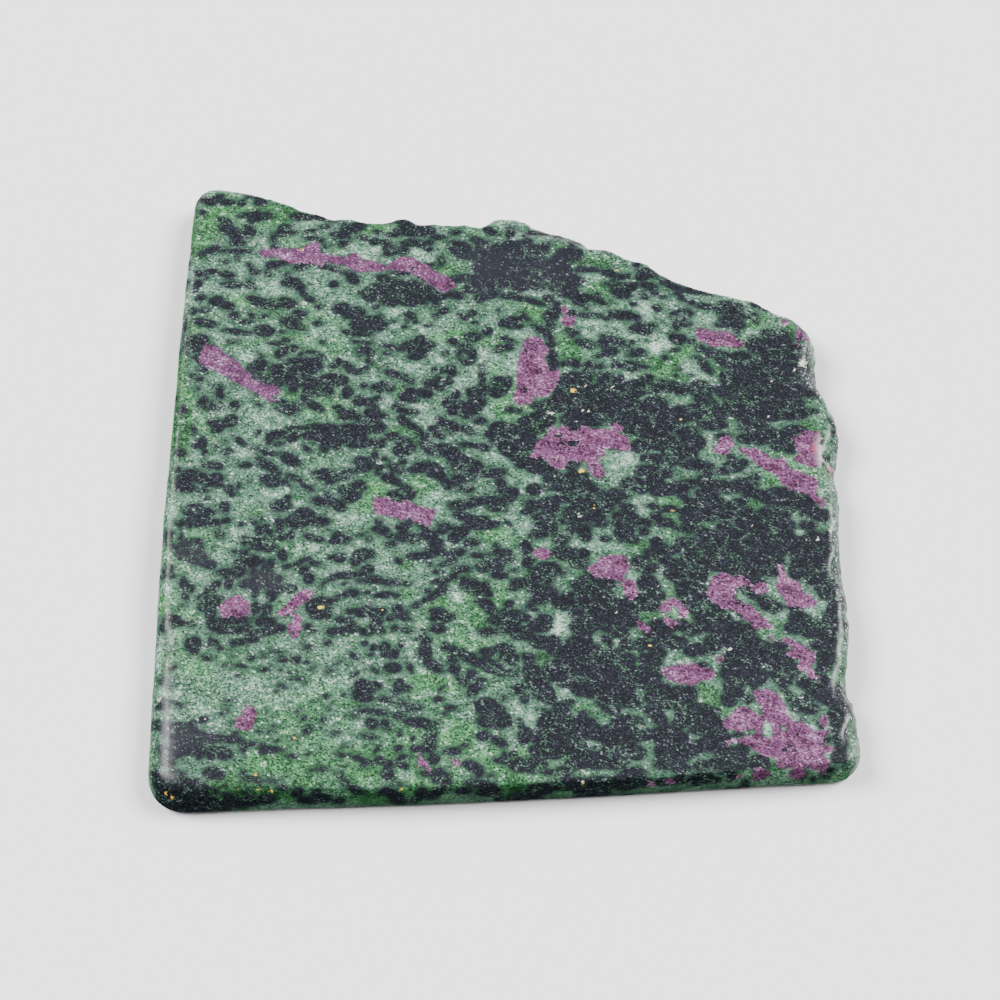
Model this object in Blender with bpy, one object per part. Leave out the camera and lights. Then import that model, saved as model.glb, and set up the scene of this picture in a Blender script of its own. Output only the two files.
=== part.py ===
"""Ruby in zoisite: one sawn, tumbled slab of green zoisite rock.

The slab is a single natural stone, so it is one closed solid.  Its top and its underside are sawn
flat.  The front and the left edge are sawn too and then tumbled round, the back edge is an old
break with a step in it, and the right edge is rough and chipped.  The black hornblende and the
ruby crystals in the rock are cut flush with its faces, so they have no shape of their own here.

Frame: X to the right along the sawn front edge, Y towards the broken back edge, Z up.  The origin
is the middle of the box around the slab, on the plane that the slab rests on.
"""

import math

import bmesh
import bpy
from mathutils import Matrix, Vector, noise

MM = 0.001

# Driving dimensions, in millimetres.
THICKNESS = 7.0             # between the two sawn faces
STATION_STEP = 1.45         # distance between two sections along the rim
ARC_STEP = math.radians(9)  # turn between two points on a corner's arc
LONGEST_RUN = 0.49          # share of a side that an arc may take up

# How the rim is shaped where it has each kind of edge, in millimetres: how far the round-over runs
# in from the rim and how far down it, for the top and for the foot, how deep the break is rough,
# and how far a step is set back above a ledge.
RIM_KINDS = {
    #            top in, top down, foot in, foot up, rough, set back
    "sawn":      (1.0, 1.5, 0.7, 1.0, 0.04, 0.0),
    "worn":      (2.4, 2.8, 0.9, 1.2, 0.05, 0.0),
    "corner":    (5.2, 4.4, 1.1, 1.4, 0.06, 0.0),
    "tumbled":   (1.7, 2.2, 1.0, 1.4, 0.10, 0.0),
    "broken":    (0.9, 1.3, 2.2, 2.8, 0.55, 0.0),
    "ledge":     (0.5, 0.6, 1.6, 2.0, 0.40, 3.6),
    "low ledge": (0.6, 0.8, 1.8, 2.4, 0.50, 1.8),
    "chipped":   (2.3, 2.6, 1.5, 1.9, 0.48, 0.0),
}
LEDGE_BELOW_TOP = 1.7       # height of the step above the ledge
ROUGH_LUMP = 4.2            # size of the lumps on a broken edge
ROUGH_GRAIN = 1.7           # size of the smaller lumps on them
GRAIN_SHARE = 0.4           # depth of the small lumps as a share of the large

# The slab's outline, anticlockwise from the front left corner: a corner's place, the radius of
# the arc that rounds it and the kind of rim there.
OUTLINE = [
    (-60.6, -62.6, 6.4, "corner"),
    (-38.0, -61.5, 60.0, "worn"),
    (-14.0, -60.7, 80.0, "sawn"),
    (14.0, -59.3, 90.0, "sawn"),
    (60.6, -56.4, 4.2, "tumbled"),
    (60.0, -46.0, 7.0, "chipped"),
    (58.6, -41.5, 6.0, "chipped"),
    (59.8, -29.0, 16.0, "tumbled"),
    (59.0, -13.0, 25.0, "tumbled"),
    (59.8, -3.5, 6.0, "chipped"),
    (59.2, 0.8, 3.0, "chipped"),
    (60.2, 5.0, 4.0, "chipped"),
    (60.6, 9.5, 4.0, "chipped"),
    (58.4, 17.0, 7.0, "chipped"),
    (57.0, 22.5, 8.0, "chipped"),
    (56.8, 31.2, 5.0, "chipped"),
    (50.0, 34.7, 10.0, "broken"),
    (42.5, 38.0, 12.0, "broken"),
    (35.5, 39.8, 12.0, "broken"),
    (26.4, 45.1, 8.0, "broken"),
    (18.4, 47.8, 10.0, "broken"),
    (12.6, 51.6, 8.0, "low ledge"),
    (5.0, 55.0, 12.0, "ledge"),
    (0.6, 56.3, 3.0, "ledge"),
    (-3.0, 56.4, 1.4, "ledge"),
    (-3.9, 52.8, 0.8, "broken"),
    (-10.5, 53.4, 20.0, "broken"),
    (-18.0, 54.8, 10.0, "broken"),
    (-31.5, 54.9, 16.0, "broken"),
    (-42.0, 58.5, 20.0, "broken"),
    (-50.0, 61.6, 16.0, "broken"),
    (-59.0, 62.5, 3.6, "tumbled"),
    (-60.0, 30.0, 120.0, "tumbled"),
    (-60.7, -10.0, 150.0, "tumbled"),
]

# Chips struck off the rim: the place on the outline, the half width along the rim, the depth,
# and the height of its middle as a share of the thickness.
CHIPS = [
    (60.4, 3.0, 5.5, 1.6, 0.95),
    (57.4, 20.5, 4.5, 1.3, 0.90),
    (59.2, -19.0, 3.5, 1.0, 1.00),
    (58.7, -41.0, 4.0, 1.2, 0.95),
    (60.3, -51.0, 3.2, 1.3, 1.00),
    (59.6, -31.0, 2.6, 0.9, 0.10),
    (58.9, -10.0, 3.6, 1.1, 0.05),
    (46.0, 36.5, 5.0, 1.1, 0.15),
    (30.5, 42.8, 3.4, 0.9, 0.90),
    (22.0, 46.5, 4.4, 1.2, 0.10),
    (-12.0, 53.6, 4.6, 1.1, 0.12),
    (-24.0, 54.8, 3.4, 0.8, 0.95),
    (-37.0, 56.8, 4.2, 1.2, 0.10),
    (-52.0, 61.8, 3.2, 0.8, 0.15),
    (-60.3, 18.0, 2.4, 0.6, 0.05),
    (-60.6, -33.0, 2.8, 0.6, 1.00),
]
CHIP_HEIGHT = 0.42          # half height of a chip, as a share of the thickness

# Heights of the rim's rings, in millimetres above the underside.
LEVELS = [0.0, 0.2, 0.7, 1.5, 2.7, 3.9, 4.8, 5.4, 5.9, 6.4, 6.8, THICKNESS]

ROCK_COLOUR = (0.115, 0.19, 0.13, 1.0)
ROCK_ROUGHNESS = 0.32


def smooth_step(t):
    """Ease a share from 0 to 1, level at both ends."""
    t = min(max(t, 0.0), 1.0)
    return t * t * (3.0 - 2.0 * t)


def rounded_outline(corners):
    """Return the outline's points with an arc at each corner, and each corner's index in them."""
    points, middles = [], []
    count = len(corners)
    for i, (x, y, radius, _) in enumerate(corners):
        here = Vector((x, y))
        back = Vector(corners[i - 1][:2]) - here
        ahead = Vector(corners[(i + 1) % count][:2]) - here
        half_turn = (math.pi - back.angle(ahead)) / 2
        room = LONGEST_RUN * min(back.length, ahead.length)
        radius = min(radius, room / math.tan(half_turn))
        inward = (back.normalized() + ahead.normalized()).normalized()
        centre = here + inward * (radius / math.cos(half_turn))
        outward = -inward * radius
        bend = math.copysign(1.0, ahead.cross(back))
        steps = max(2, math.ceil(2 * half_turn / ARC_STEP))
        middles.append(len(points) + steps // 2)
        for k in range(steps + 1):
            turn = bend * half_turn * (2 * k / steps - 1)
            points.append(centre + Matrix.Rotation(turn, 2) @ outward)
    return points, middles


def stations(corners):
    """Walk the rounded outline in even steps; return places, outward normals and rim sizes."""
    points, middles = rounded_outline(corners)
    first = middles[0]
    points = points[first:] + points[:first]
    lengths = [0.0]
    for a, b in zip(points, points[1:] + points[:1]):
        lengths.append(lengths[-1] + (b - a).length)
    total = lengths[-1]
    corner_at = [lengths[middle - first] for middle in middles] + [total]
    count = round(total / STATION_STEP)

    places, sizes = [], []
    piece, corner = 0, 0
    for k in range(count):
        at = total * k / count
        while lengths[piece + 1] < at:
            piece += 1
        while corner_at[corner + 1] < at:
            corner += 1
        share = (at - lengths[piece]) / (lengths[piece + 1] - lengths[piece])
        places.append(points[piece].lerp(points[(piece + 1) % len(points)], share))
        blend = smooth_step((at - corner_at[corner]) / (corner_at[corner + 1] - corner_at[corner]))
        here = RIM_KINDS[corners[corner][3]]
        following = RIM_KINDS[corners[(corner + 1) % len(corners)][3]]
        sizes.append([h + (f - h) * blend for h, f in zip(here, following)])

    normals = []
    for k in range(count):
        along = places[(k + 1) % count] - places[k - 1]
        normals.append(Vector((along.y, -along.x)).normalized())
    return places, normals, sizes


def round_over(run_in, run_down, depth):
    """How far a quarter ellipse stands in from the rim at a depth below the face."""
    if depth >= run_down:
        return 0.0
    return run_in * (1.0 - math.sqrt(1.0 - (1.0 - depth / run_down) ** 2))


def step_back(set_back, z):
    """How far the rim stands back at a height above the ledge: a short steep step."""
    ledge = THICKNESS - LEDGE_BELOW_TOP
    return set_back * smooth_step((z - ledge + 0.35) / 0.7)


def roughness(place, z, amount):
    """Lumps and hollows of a broken edge, the same on each run."""
    spot = Vector((place.x, place.y, 1.6 * z))
    lump = noise.noise(spot / ROUGH_LUMP) + GRAIN_SHARE * noise.noise(spot / ROUGH_GRAIN)
    return amount * lump * 1.6


def chip_depth(place, z):
    """Depth of the chips at a place on the rim, each a shallow bowl."""
    depth = 0.0
    for x, y, half_width, deep, height in CHIPS:
        along = (place - Vector((x, y))).length / half_width
        up = (z / THICKNESS - height) / CHIP_HEIGHT
        reach = along * along + up * up
        if reach < 1.0:
            depth += deep * (1.0 - reach) ** 0.75
    return depth


def rim_inset(place, z, size):
    """Distance of the rim in from the outline at a station and a height."""
    top_in, top_down, foot_in, foot_up, rough, set_back = size
    inset = round_over(top_in, top_down, THICKNESS - z)
    inset += round_over(foot_in, foot_up, z)
    inset += step_back(set_back, z) + chip_depth(place, z)
    return inset + roughness(place, z, rough)


def slab_mesh():
    """Loft the rim through its rings and close it with the two sawn faces."""
    places, normals, sizes = stations(OUTLINE)
    bm = bmesh.new()
    rings = []
    for z in LEVELS:
        ring = []
        for place, normal, size in zip(places, normals, sizes):
            spot = place - normal * rim_inset(place, z, size)
            ring.append(bm.verts.new(Vector((spot.x, spot.y, z)) * MM))
        rings.append(ring)
    count = len(places)
    for lower, upper in zip(rings, rings[1:]):
        for k in range(count):
            following = (k + 1) % count
            bm.faces.new((lower[k], lower[following], upper[following], upper[k]))
    bm.faces.new(rings[-1])
    bm.faces.new(reversed(rings[0]))
    centre_on_base(bm)
    mesh = bpy.data.meshes.new("slab")
    bm.to_mesh(mesh)
    bm.free()
    return mesh


def centre_on_base(bm):
    """Put the origin under the middle of the slab's box."""
    xs = [v.co.x for v in bm.verts]
    ys = [v.co.y for v in bm.verts]
    middle = Vector(((min(xs) + max(xs)) / 2, (min(ys) + max(ys)) / 2, 0.0))
    bmesh.ops.translate(bm, verts=bm.verts, vec=-middle)


def rock_material():
    """Polished green rock: the mean colour of zoisite, hornblende and ruby together."""
    material = bpy.data.materials.new("polished_zoisite_rock")
    material.use_nodes = True
    shader = material.node_tree.nodes["Principled BSDF"]
    shader.inputs["Base Color"].default_value = ROCK_COLOUR
    shader.inputs["Roughness"].default_value = ROCK_ROUGHNESS
    shader.inputs["Metallic"].default_value = 0.0
    material.diffuse_color = ROCK_COLOUR
    return material


def main():
    for old in list(bpy.data.objects):
        bpy.data.objects.remove(old, do_unlink=True)
    stone = bpy.data.collections.new("ruby_in_zoisite")
    bpy.context.scene.collection.children.link(stone)
    slab = bpy.data.objects.new("slab", slab_mesh())
    slab.data.materials.append(rock_material())
    stone.objects.link(slab)


main()
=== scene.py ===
"""Ruby in zoisite: a polished slab of green rock with black hornblende and pink ruby.

The stone is one piece, which stands for the CAD solid.  Its outline, thickness and rim come from
that solid.  What only has colour, the clots of hornblende, the ruby crystals and the paler and
greener parts of the zoisite, was placed in millimetres and becomes attributes of the mesh,
as depths below each mineral's edge.  The material turns those depths into crystals and adds the
grain that is finer than the mesh.
"""
import math
import random

import bmesh
import bpy
import numpy as np
from mathutils import Matrix, Vector, noise


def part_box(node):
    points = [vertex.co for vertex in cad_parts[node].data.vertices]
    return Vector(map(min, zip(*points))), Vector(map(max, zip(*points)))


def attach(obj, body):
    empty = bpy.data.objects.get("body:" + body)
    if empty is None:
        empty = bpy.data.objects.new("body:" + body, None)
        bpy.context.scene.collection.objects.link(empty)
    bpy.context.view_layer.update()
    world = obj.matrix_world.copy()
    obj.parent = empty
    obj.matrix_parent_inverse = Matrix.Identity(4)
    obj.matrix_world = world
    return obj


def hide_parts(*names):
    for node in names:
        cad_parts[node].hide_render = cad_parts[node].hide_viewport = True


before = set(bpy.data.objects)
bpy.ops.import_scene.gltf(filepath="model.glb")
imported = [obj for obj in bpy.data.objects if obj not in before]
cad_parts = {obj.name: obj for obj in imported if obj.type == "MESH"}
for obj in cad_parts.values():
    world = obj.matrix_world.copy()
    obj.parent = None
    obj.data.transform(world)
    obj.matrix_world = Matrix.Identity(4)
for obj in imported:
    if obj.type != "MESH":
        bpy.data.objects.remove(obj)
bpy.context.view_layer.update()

MM = 0.001
TO_MM = 1000.0

# ---------------------------------------------------------------- camera
AIM = (-1.0, -5.5, 7.0)         # the point in the middle of the picture, mm
CAMERA_ELEVATION = 62.0         # degrees above the floor
CAMERA_DISTANCE = 434.1         # mm from the aim
LENS = 88.06                    # mm, on a sensor 36 mm wide
SENSOR = 36.0

# ---------------------------------------------------------------- mesh
VOXEL = 0.57                    # edge of the remeshed stone's faces, mm
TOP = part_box("slab")[1][2] * TO_MM


# ---------------------------------------------------------------- the minerals, placed one by one
# Clots of hornblende, back to front: x, y, length and width in mm and, where it isn't 0, the tilt
# in degrees.
CLOTS = [
    # the back quarter
    (-57.2, 59, 1.8, 1, -10), (-55.6, 58.6, 2.4, 1.4, 15), (-54.3, 59.6, 1.6, 1, 20),
    (-52.6, 58.5, 2.6, 1.1), (-49.9, 58.4, 1.2, 1.3), (-48, 60, 2.2, 0.7, -5),
    (-46.4, 58.6, 1.8, 1.1), (-57.4, 56.2, 1.2, 0.8, -20), (-53, 54.3, 2.2, 1, -20),
    (-48.9, 55.6, 2.6, 1, 10), (-48, 54.6, 1.4, 1, -60), (-45.6, 55.4, 3, 1.3),
    (-51.8, 52, 4.6, 2, -25), (-48.4, 51.8, 2.6, 2.6), (-50.6, 50.4, 3, 1.6, -50),
    (-50.4, 49.2, 2.4, 1.2), (-41.6, 52.7, 2, 1.2, 15), (-41.6, 51.5, 3.6, 1.3, 5),
    (-43.6, 50, 1, 0.8, -40), (-55.2, 47.7, 2.6, 1, 25), (-56.8, 46.9, 1.2, 0.8, 30),
    (-50.6, 47.4, 4.4, 0.6), (-50.3, 46, 1.4, 0.8, 80), (-46.8, 42.8, 1.8, 1.2, -10),
    (-47.7, 44.2, 1.2, 0.8, -50), (-43.6, 44.3, 2, 1.6), (-41.5, 44.7, 3, 0.9, 10),
    (-38.2, 43.9, 2.6, 1.5, 20), (-36.9, 44.5, 1.8, 0.9), (-33, 43.7, 4, 1, -15),
    (-39.2, 55.2, 2.6, 1.6), (-36.8, 55.1, 3.6, 1.1), (-33.5, 54.5, 3, 0.8, -8),
    (-34.2, 53, 2, 0.8), (-36.5, 50.3, 2.2, 0.6), (-34.6, 49.8, 1.2, 0.8, -20),
    (-31.6, 50.8, 2.4, 1.8, -20), (-57.3, 42.3, 1.4, 1.2), (-55, 42.8, 2.2, 0.9),
    (-51.8, 42.1, 2.4, 1.3, -15), (-57.2, 40, 1.5, 1.2, 90), (-50.8, 39.9, 3.4, 1.3, -5),
    (-47.7, 39.9, 1.8, 1.2, -15), (-39.8, 40.4, 3.4, 2), (-38.4, 39.5, 2, 1.4),
    (-37.6, 38, 1.6, 0.9, -60), (-36.3, 36.7, 1.8, 1, -30), (-32, 40, 1.6, 1.4),
    (-56.6, 37, 1.6, 0.9, 20), (-53.7, 36.3, 2.2, 1.9), (-51.6, 35.3, 2.6, 1.5, -15),
    (-46, 36.3, 3.6, 1.5, -22), (-43.8, 35.6, 4, 2.2, -5), (-40.8, 35.9, 3.8, 2.2, -8),
    (-57.9, 34.1, 1.3, 1.2), (-55.8, 34.3, 1.5, 0.9, -5), (-50.3, 33.4, 1.4, 0.7, 15),
    (-38.6, 33.9, 1.2, 0.9), (-37.3, 33.5, 1, 0.8), (-39.5, 32.6, 2.8, 1), (-34.6, 35, 0.9, 0.7),
    (-31.2, 34.6, 1.6, 1.2, 90), (-44.5, 33, 1, 0.6), (-47.8, 31.8, 1.8, 0.8),
    (-30.2, 52.6, 2.2, 1.6, 90), (-27.9, 52.9, 3.2, 1.8, 10), (-29.5, 51.8, 2.4, 1),
    (-26.7, 54.2, 1.6, 0.6), (-20.2, 54.2, 1.8, 0.7), (-30.6, 49, 1.8, 1.4, -40),
    (-27, 50.6, 2.4, 0.9, -20), (-24.6, 49.6, 1.8, 1.5), (-24, 51.7, 1.4, 0.8, -10),
    (-22.4, 49.3, 2.2, 0.9, -20), (-22, 48.2, 1.8, 0.8, 30), (-22, 46.7, 1.8, 0.8),
    (-20, 47.6, 2.2, 1.6, 20), (-18.9, 47.4, 1.6, 1.3), (-18.6, 52.9, 2.6, 2),
    (-16.2, 53.3, 3.6, 1.3, -8), (-17.2, 51.5, 4.2, 1.4), (-20.9, 51, 2, 0.8),
    (-14.5, 51.9, 2, 1.2), (-17.8, 49.2, 3.2, 1.4), (-15.7, 48.9, 1.6, 1.4),
    (-14.6, 48, 1.4, 1, -20), (-12.6, 50.4, 2.2, 0.9), (-9.3, 51.6, 1.8, 1.1),
    (-8.6, 48.4, 4, 2.2, -15), (-8.2, 46.7, 3.6, 1.4, -20), (-5.2, 49.8, 2.2, 1.2, -15),
    (-3.4, 48, 4.2, 3), (-2, 45.4, 5, 3.4, -10), (-3.8, 43.4, 3.6, 2.6, -20),
    (-6.4, 46.2, 1.8, 1.4, -30), (-4.6, 40.4, 5.6, 2.8, -10), (-1.2, 41.5, 4.4, 4.2),
    (-8.6, 41.3, 3.4, 1.5, 12), (-3, 37.8, 3.4, 1.8, 20), (-4.8, 36.9, 1.8, 1.6),
    (-6.3, 39, 2.6, 1.8), (-11.8, 44.6, 1.4, 1.1, 60), (-12.1, 45.7, 1, 0.8),
    (-9.3, 37.6, 3, 1.5, -15), (-11.4, 37.2, 1.2, 0.8), (-22.8, 41.2, 2.6, 1.6, -20),
    (-20.6, 40.2, 4, 1.6, -5), (-23.8, 39, 4, 2.4), (-20, 38.4, 5, 2.8),
    (-16.9, 39.8, 3, 1.6, -15), (-17.6, 36.6, 5, 2.6), (-13.6, 37.6, 3.2, 2.2, -50),
    (-21.6, 36.3, 3.2, 1.9, -10), (-25.2, 37.2, 2.6, 1.7, -20), (-19.4, 42.5, 3, 0.7, -5),
    (-15.8, 41.5, 2.4, 0.8, -35), (-14.9, 38.8, 3, 2), (-28.4, 41.2, 2.8, 1.7, -40),
    (-29.5, 42.5, 1.8, 0.8), (-30, 34.7, 3.4, 2.1, -5), (-27.4, 34, 2.6, 2, -10),
    (-28.5, 33, 3, 1.2, -10), (-24.1, 35, 0.9, 0.7), (-26.6, 38.2, 1.2, 0.8),
    (-24, 32.4, 3, 1, -10), (-17.6, 33.2, 2, 1.2, -20), (-11.4, 34.1, 1.7, 1.1, 10),
    (-12.8, 33, 1, 0.7), (-12.7, 35.3, 0.9, 0.5, 20), (-6.2, 33.6, 1.4, 1.2),
    (-7.6, 32.7, 1.2, 0.9), (-3.2, 52.2, 1.4, 1), (0.9, 51.5, 2.2, 1.4, 70),
    (-2.4, 51.5, 1.2, 0.8), (6.5, 51.5, 2.4, 0.8), (10, 50.7, 1.2, 0.6), (1.5, 47.9, 4.6, 3),
    (4, 49.3, 1.5, 1.2, 40), (4.6, 47.4, 3.4, 1.9, 10), (7.5, 48.5, 1.3, 1, 60), (3, 44.6, 6, 3.2),
    (7.6, 43.8, 5, 3.2, -8), (5, 41.4, 8, 3), (10.4, 45.3, 3.4, 1.8), (11.8, 46.9, 3.4, 1.7, 5),
    (13.6, 46.6, 1.8, 1.2, 80), (10.6, 42.4, 4.6, 2.6, -15), (12.8, 40.7, 2.8, 1.9),
    (3.8, 39.6, 4, 1.2, 10), (0.8, 40.4, 4, 1.6), (9.6, 39.2, 2, 1.3), (12, 38.3, 3.4, 2.2, -40),
    (13.5, 36.6, 3, 2, -45), (10.6, 37.9, 2, 0.9, -30), (15.6, 43.2, 2.8, 0.6, -5),
    (12.9, 49, 0.9, 0.7), (19.4, 42.4, 2, 1.2, -10), (21.3, 41.7, 3, 1, -8), (24.6, 44.3, 1, 0.8),
    (26.4, 43.1, 3, 0.8), (25.5, 41.7, 2.4, 1.7, 10), (27.5, 42, 1.8, 1.1),
    (29, 41.2, 4, 0.9, -18), (26.5, 39.7, 3, 1.1, -10), (21.5, 38.8, 3.8, 2.8),
    (23.5, 39.3, 2.2, 1.6, 30), (22, 37.2, 2.2, 0.9), (19.9, 39.7, 1.2, 0.8),
    (25.4, 38.2, 1.4, 0.6), (26, 37, 1.4, 0.6), (27.6, 38, 1.2, 0.7), (29.2, 37.1, 1.1, 0.5),
    (15, 37, 1.7, 1.5, 90), (17.4, 36.4, 2.6, 1.1, -35), (16.9, 37.6, 1, 0.8),
    (0.8, 37.4, 2.6, 0.9), (2.8, 36.9, 2.2, 0.8, -10), (5.4, 36.1, 3, 0.9, -22), (8, 36.9, 1.3, 1),
    (28, 34.8, 1.7, 1.2, -20), (20, 33.8, 2, 0.9), (22, 33.1, 4, 1.8), (24, 32.8, 1.6, 1.1),
    (8.4, 33, 2.6, 2.4), (9.6, 34.3, 2, 1.3), (12.1, 33.6, 1.8, 1.3, -10),
    (15.8, 33.1, 4, 0.8, -5), (2.2, 32.4, 3.4, 0.8), (30.2, 40, 2, 0.8, -20), (18.7, 32.5, 1, 0.9),
    (31.6, 39.3, 3, 0.9, -15), (34.4, 38.6, 2, 1.1, -20), (36, 38.3, 1.3, 1.1),
    (37.3, 38.2, 1.8, 0.7, -25), (33, 36.5, 1.4, 0.6, -20), (34.6, 36, 1, 0.7),
    (37.2, 35.1, 3, 1, -10), (33.4, 33.8, 2.6, 1.7, -10), (31.4, 33.1, 2, 1.8),
    (41, 35.6, 2.6, 1.1, -5), (43, 34.9, 1.7, 1.6), (41.8, 34.2, 3.6, 1.4), (45, 33.2, 2.8, 1.3),
    (41.5, 32.6, 3.4, 1.3), (46.3, 32.4, 1.4, 1.1, 90), (39.4, 34.2, 1.4, 1, 90),
    (46.2, 35.5, 1.2, 0.9), (48, 34.7, 1.5, 0.8, -15),
    # the middle, behind
    (-55.3, 31.5, 3.8, 1.5, -15), (-49.6, 29.6, 4.2, 1, -5), (-50.2, 27.5, 1.4, 0.6),
    (-44.4, 29.8, 3.6, 2.2), (-39.1, 31.1, 4.4, 1.6, -20), (-34.6, 31.4, 1.2, 0.8),
    (-56.9, 27.9, 4.4, 2.2), (-57.8, 26.2, 2.6, 3), (-56, 25, 1.8, 3, -40),
    (-55.9, 23.5, 2.2, 1, -50), (-41.9, 27.1, 2.4, 0.9), (-40.2, 25.7, 3.4, 1.4, 20),
    (-39, 26, 1.6, 1.2), (-41.5, 24.7, 1.4, 1.2), (-37.5, 24.7, 0.8, 0.6),
    (-35.5, 25.2, 2.2, 0.6, -15), (-33.8, 24.3, 1.4, 0.7, -40), (-35.3, 22.8, 3.6, 2.1, -15),
    (-38.1, 23.3, 2.6, 1, -5), (-45.4, 22, 3.2, 2.2, 30), (-44.9, 23, 1.8, 1), (-40.7, 21.5, 4, 2),
    (-39, 20.9, 4.6, 3), (-36.8, 21.1, 2, 2.4), (-37.7, 19.4, 4.2, 2.8), (-36.2, 18.8, 1.8, 1.4),
    (-43.7, 19.2, 2.8, 2.4), (-45.4, 19.6, 1.6, 1.2), (-42.2, 19.4, 3.2, 2.2),
    (-42.8, 18.3, 3, 1.2), (-44.4, 17.3, 1, 0.9), (-45, 16.4, 0.8, 0.6), (-34.3, 18.8, 3, 1.2),
    (-31.9, 19.4, 3, 2.2), (-35.8, 16.9, 1.8, 1.8), (-36.6, 15.6, 1, 1),
    (-32.7, 16.9, 2.8, 1.8, -20), (-34.3, 16.4, 1.8, 1), (-34.7, 13.9, 3, 1.2, -35),
    (-40.5, 14.5, 3, 0.9, -15), (-38.5, 13.9, 2.6, 0.9, -10), (-40, 13, 2.6, 1, -5),
    (-37.3, 13.4, 0.9, 0.6), (-39, 12.4, 1.2, 0.7), (-52.3, 17.6, 1.6, 1.1),
    (-52.2, 16.4, 1.2, 1.4), (-51.5, 15.7, 0.9, 0.9), (-55, 14.6, 1.3, 2.2, -30),
    (-54.3, 13.4, 1.6, 0.8, -40), (-52.8, 13.6, 1.6, 0.8, -35), (-49.2, 13.9, 1.8, 1.9),
    (-58.5, 13.2, 0.9, 1.3), (-49.6, 10.7, 2.5, 2.6), (-52.6, 10.3, 2.4, 1.8),
    (-51.3, 9.9, 3.6, 1.4), (-52, 8.7, 2.2, 1.4), (-56.2, 9, 0.8, 1.8, 25), (-54.5, 5.9, 1.7, 2.4),
    (-55.5, 5.5, 1.5, 0.9), (-53.9, 4.1, 1.2, 1.4), (-58.2, 4.1, 2, 1.6),
    (-47.7, 6.4, 3.2, 1, -42), (-49.6, 4.5, 1.6, 0.8, -25), (-51.9, 5.4, 0.7, 0.6),
    (-50.3, 6.5, 0.6, 0.5), (-50.7, 4, 1.6, 0.5, -35), (-44.5, 8.3, 0.8, 0.7),
    (-39.8, 7.9, 4.8, 1.3), (-38.6, 7.3, 2.2, 1.7), (-42.4, 7.3, 1.3, 1.5), (-36, 8.4, 3, 1.2, 10),
    (-33.4, 8.3, 3.4, 2), (-34.3, 9.4, 2.4, 0.8), (-32.1, 9.4, 2, 0.8), (-35.3, 7.5, 1.4, 1),
    (-32.1, 6.6, 2.2, 1.6, -50), (-32.5, 5.1, 1.1, 1.5), (-41.3, 5.9, 1.6, 0.5),
    (-43.9, 4.7, 2.6, 0.6, -20), (-41.7, 3.9, 2.4, 0.7, -5), (-38.6, 2.7, 3.6, 1.8, -35),
    (-42.8, 1.8, 4, 1.4, -42), (-41.1, 0.4, 2, 1, -40), (-46.6, 1.6, 2.4, 1.1, 10),
    (-52.8, 1.5, 2.6, 1.5), (-51.3, 1.3, 1.8, 1.4, -30), (-56, 0.2, 3, 1), (-58.6, 0.6, 1, 1),
    (-31.9, 0.2, 2.2, 0.8), (-56.8, 20, 1, 0.7, -30), (-55.7, 19.4, 0.8, 0.5),
    (-58.9, 30.7, 0.5, 1.8), (-26.5, 31.1, 4, 2.2), (-23.7, 31.1, 3.4, 2.6),
    (-21.2, 31.7, 1.2, 0.6), (-29.1, 29.3, 2.4, 0.8, -35), (-26.7, 29.5, 4.2, 1.5, -12),
    (-27.3, 27.5, 1.4, 0.5), (-25.5, 27.1, 1.4, 0.7), (-25.6, 25.6, 2.8, 1.2, -10),
    (-24.8, 24.8, 1, 0.9), (-21.7, 25, 1.3, 0.7), (-30.5, 23.1, 1.3, 1.4),
    (-29.1, 22.7, 1.6, 0.8, -30), (-28.4, 21.6, 2, 1, -50), (-26.7, 21, 1.2, 0.9),
    (-25.7, 21.5, 1.1, 0.9), (-25.2, 23.7, 0.8, 1.2), (-15.7, 28.3, 1.4, 0.9),
    (-16.9, 26.8, 3.6, 2), (-18.4, 26, 2.4, 0.9, 10), (-16.1, 26, 4.2, 2.4),
    (-14.1, 26.7, 2.2, 1.4), (-20.8, 26.3, 2.4, 0.6, -15), (-16.7, 24.3, 2.2, 1.5),
    (-15.2, 24.5, 1.1, 0.8), (-18.6, 30.7, 0.7, 0.5), (-14.3, 31, 1, 0.5), (-6, 28.4, 2.8, 1.8),
    (-9.6, 27.4, 1.6, 1.1), (-11.1, 24.9, 1.3, 1.1), (-6.7, 25.6, 3.4, 1.8, -45),
    (-8.6, 25.2, 0.9, 1), (-7.1, 23, 2, 1), (-6, 24.1, 1.1, 1), (-3.3, 29.7, 1.6, 1.6),
    (-0.5, 31.4, 1.4, 1.4), (-0.3, 28.2, 1, 0.7), (-0.7, 26.2, 1.8, 0.9), (-1.6, 25.4, 1.4, 0.6),
    (-10, 21.5, 1.8, 2), (-9.7, 20.7, 1.6, 1.3), (-10.3, 18.9, 1.4, 1.2), (-11.4, 21.3, 1, 1.2),
    (-13, 21.5, 0.7, 0.6), (-20.6, 20.7, 2.6, 1.1, -12), (-19.4, 20.1, 1.6, 0.7),
    (-18.2, 19.8, 1.8, 1.1, -45), (-17.1, 19, 1, 0.9), (-13.5, 18.4, 2.6, 1.6, -30),
    (-12, 17.5, 1.5, 1), (-9, 16.1, 1.2, 1.5), (-4.3, 20.5, 0.9, 1.6), (-4.2, 18.8, 1.1, 1.7),
    (-3.5, 17.7, 1.2, 1.1), (-1.5, 19, 2, 2), (-1.6, 16.7, 2.6, 2.2), (-0.3, 17.5, 1.4, 2),
    (-5.4, 16.4, 3.2, 2.5), (-5.2, 14.5, 3, 2.4), (-6.7, 13.7, 1.5, 1.6), (-5.6, 12.8, 2.2, 1.3),
    (-10.5, 14.5, 1.8, 2), (-9.2, 13.7, 2.2, 1.8), (-8.4, 12.8, 3, 2.2), (-8.2, 14.3, 1.6, 1),
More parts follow.
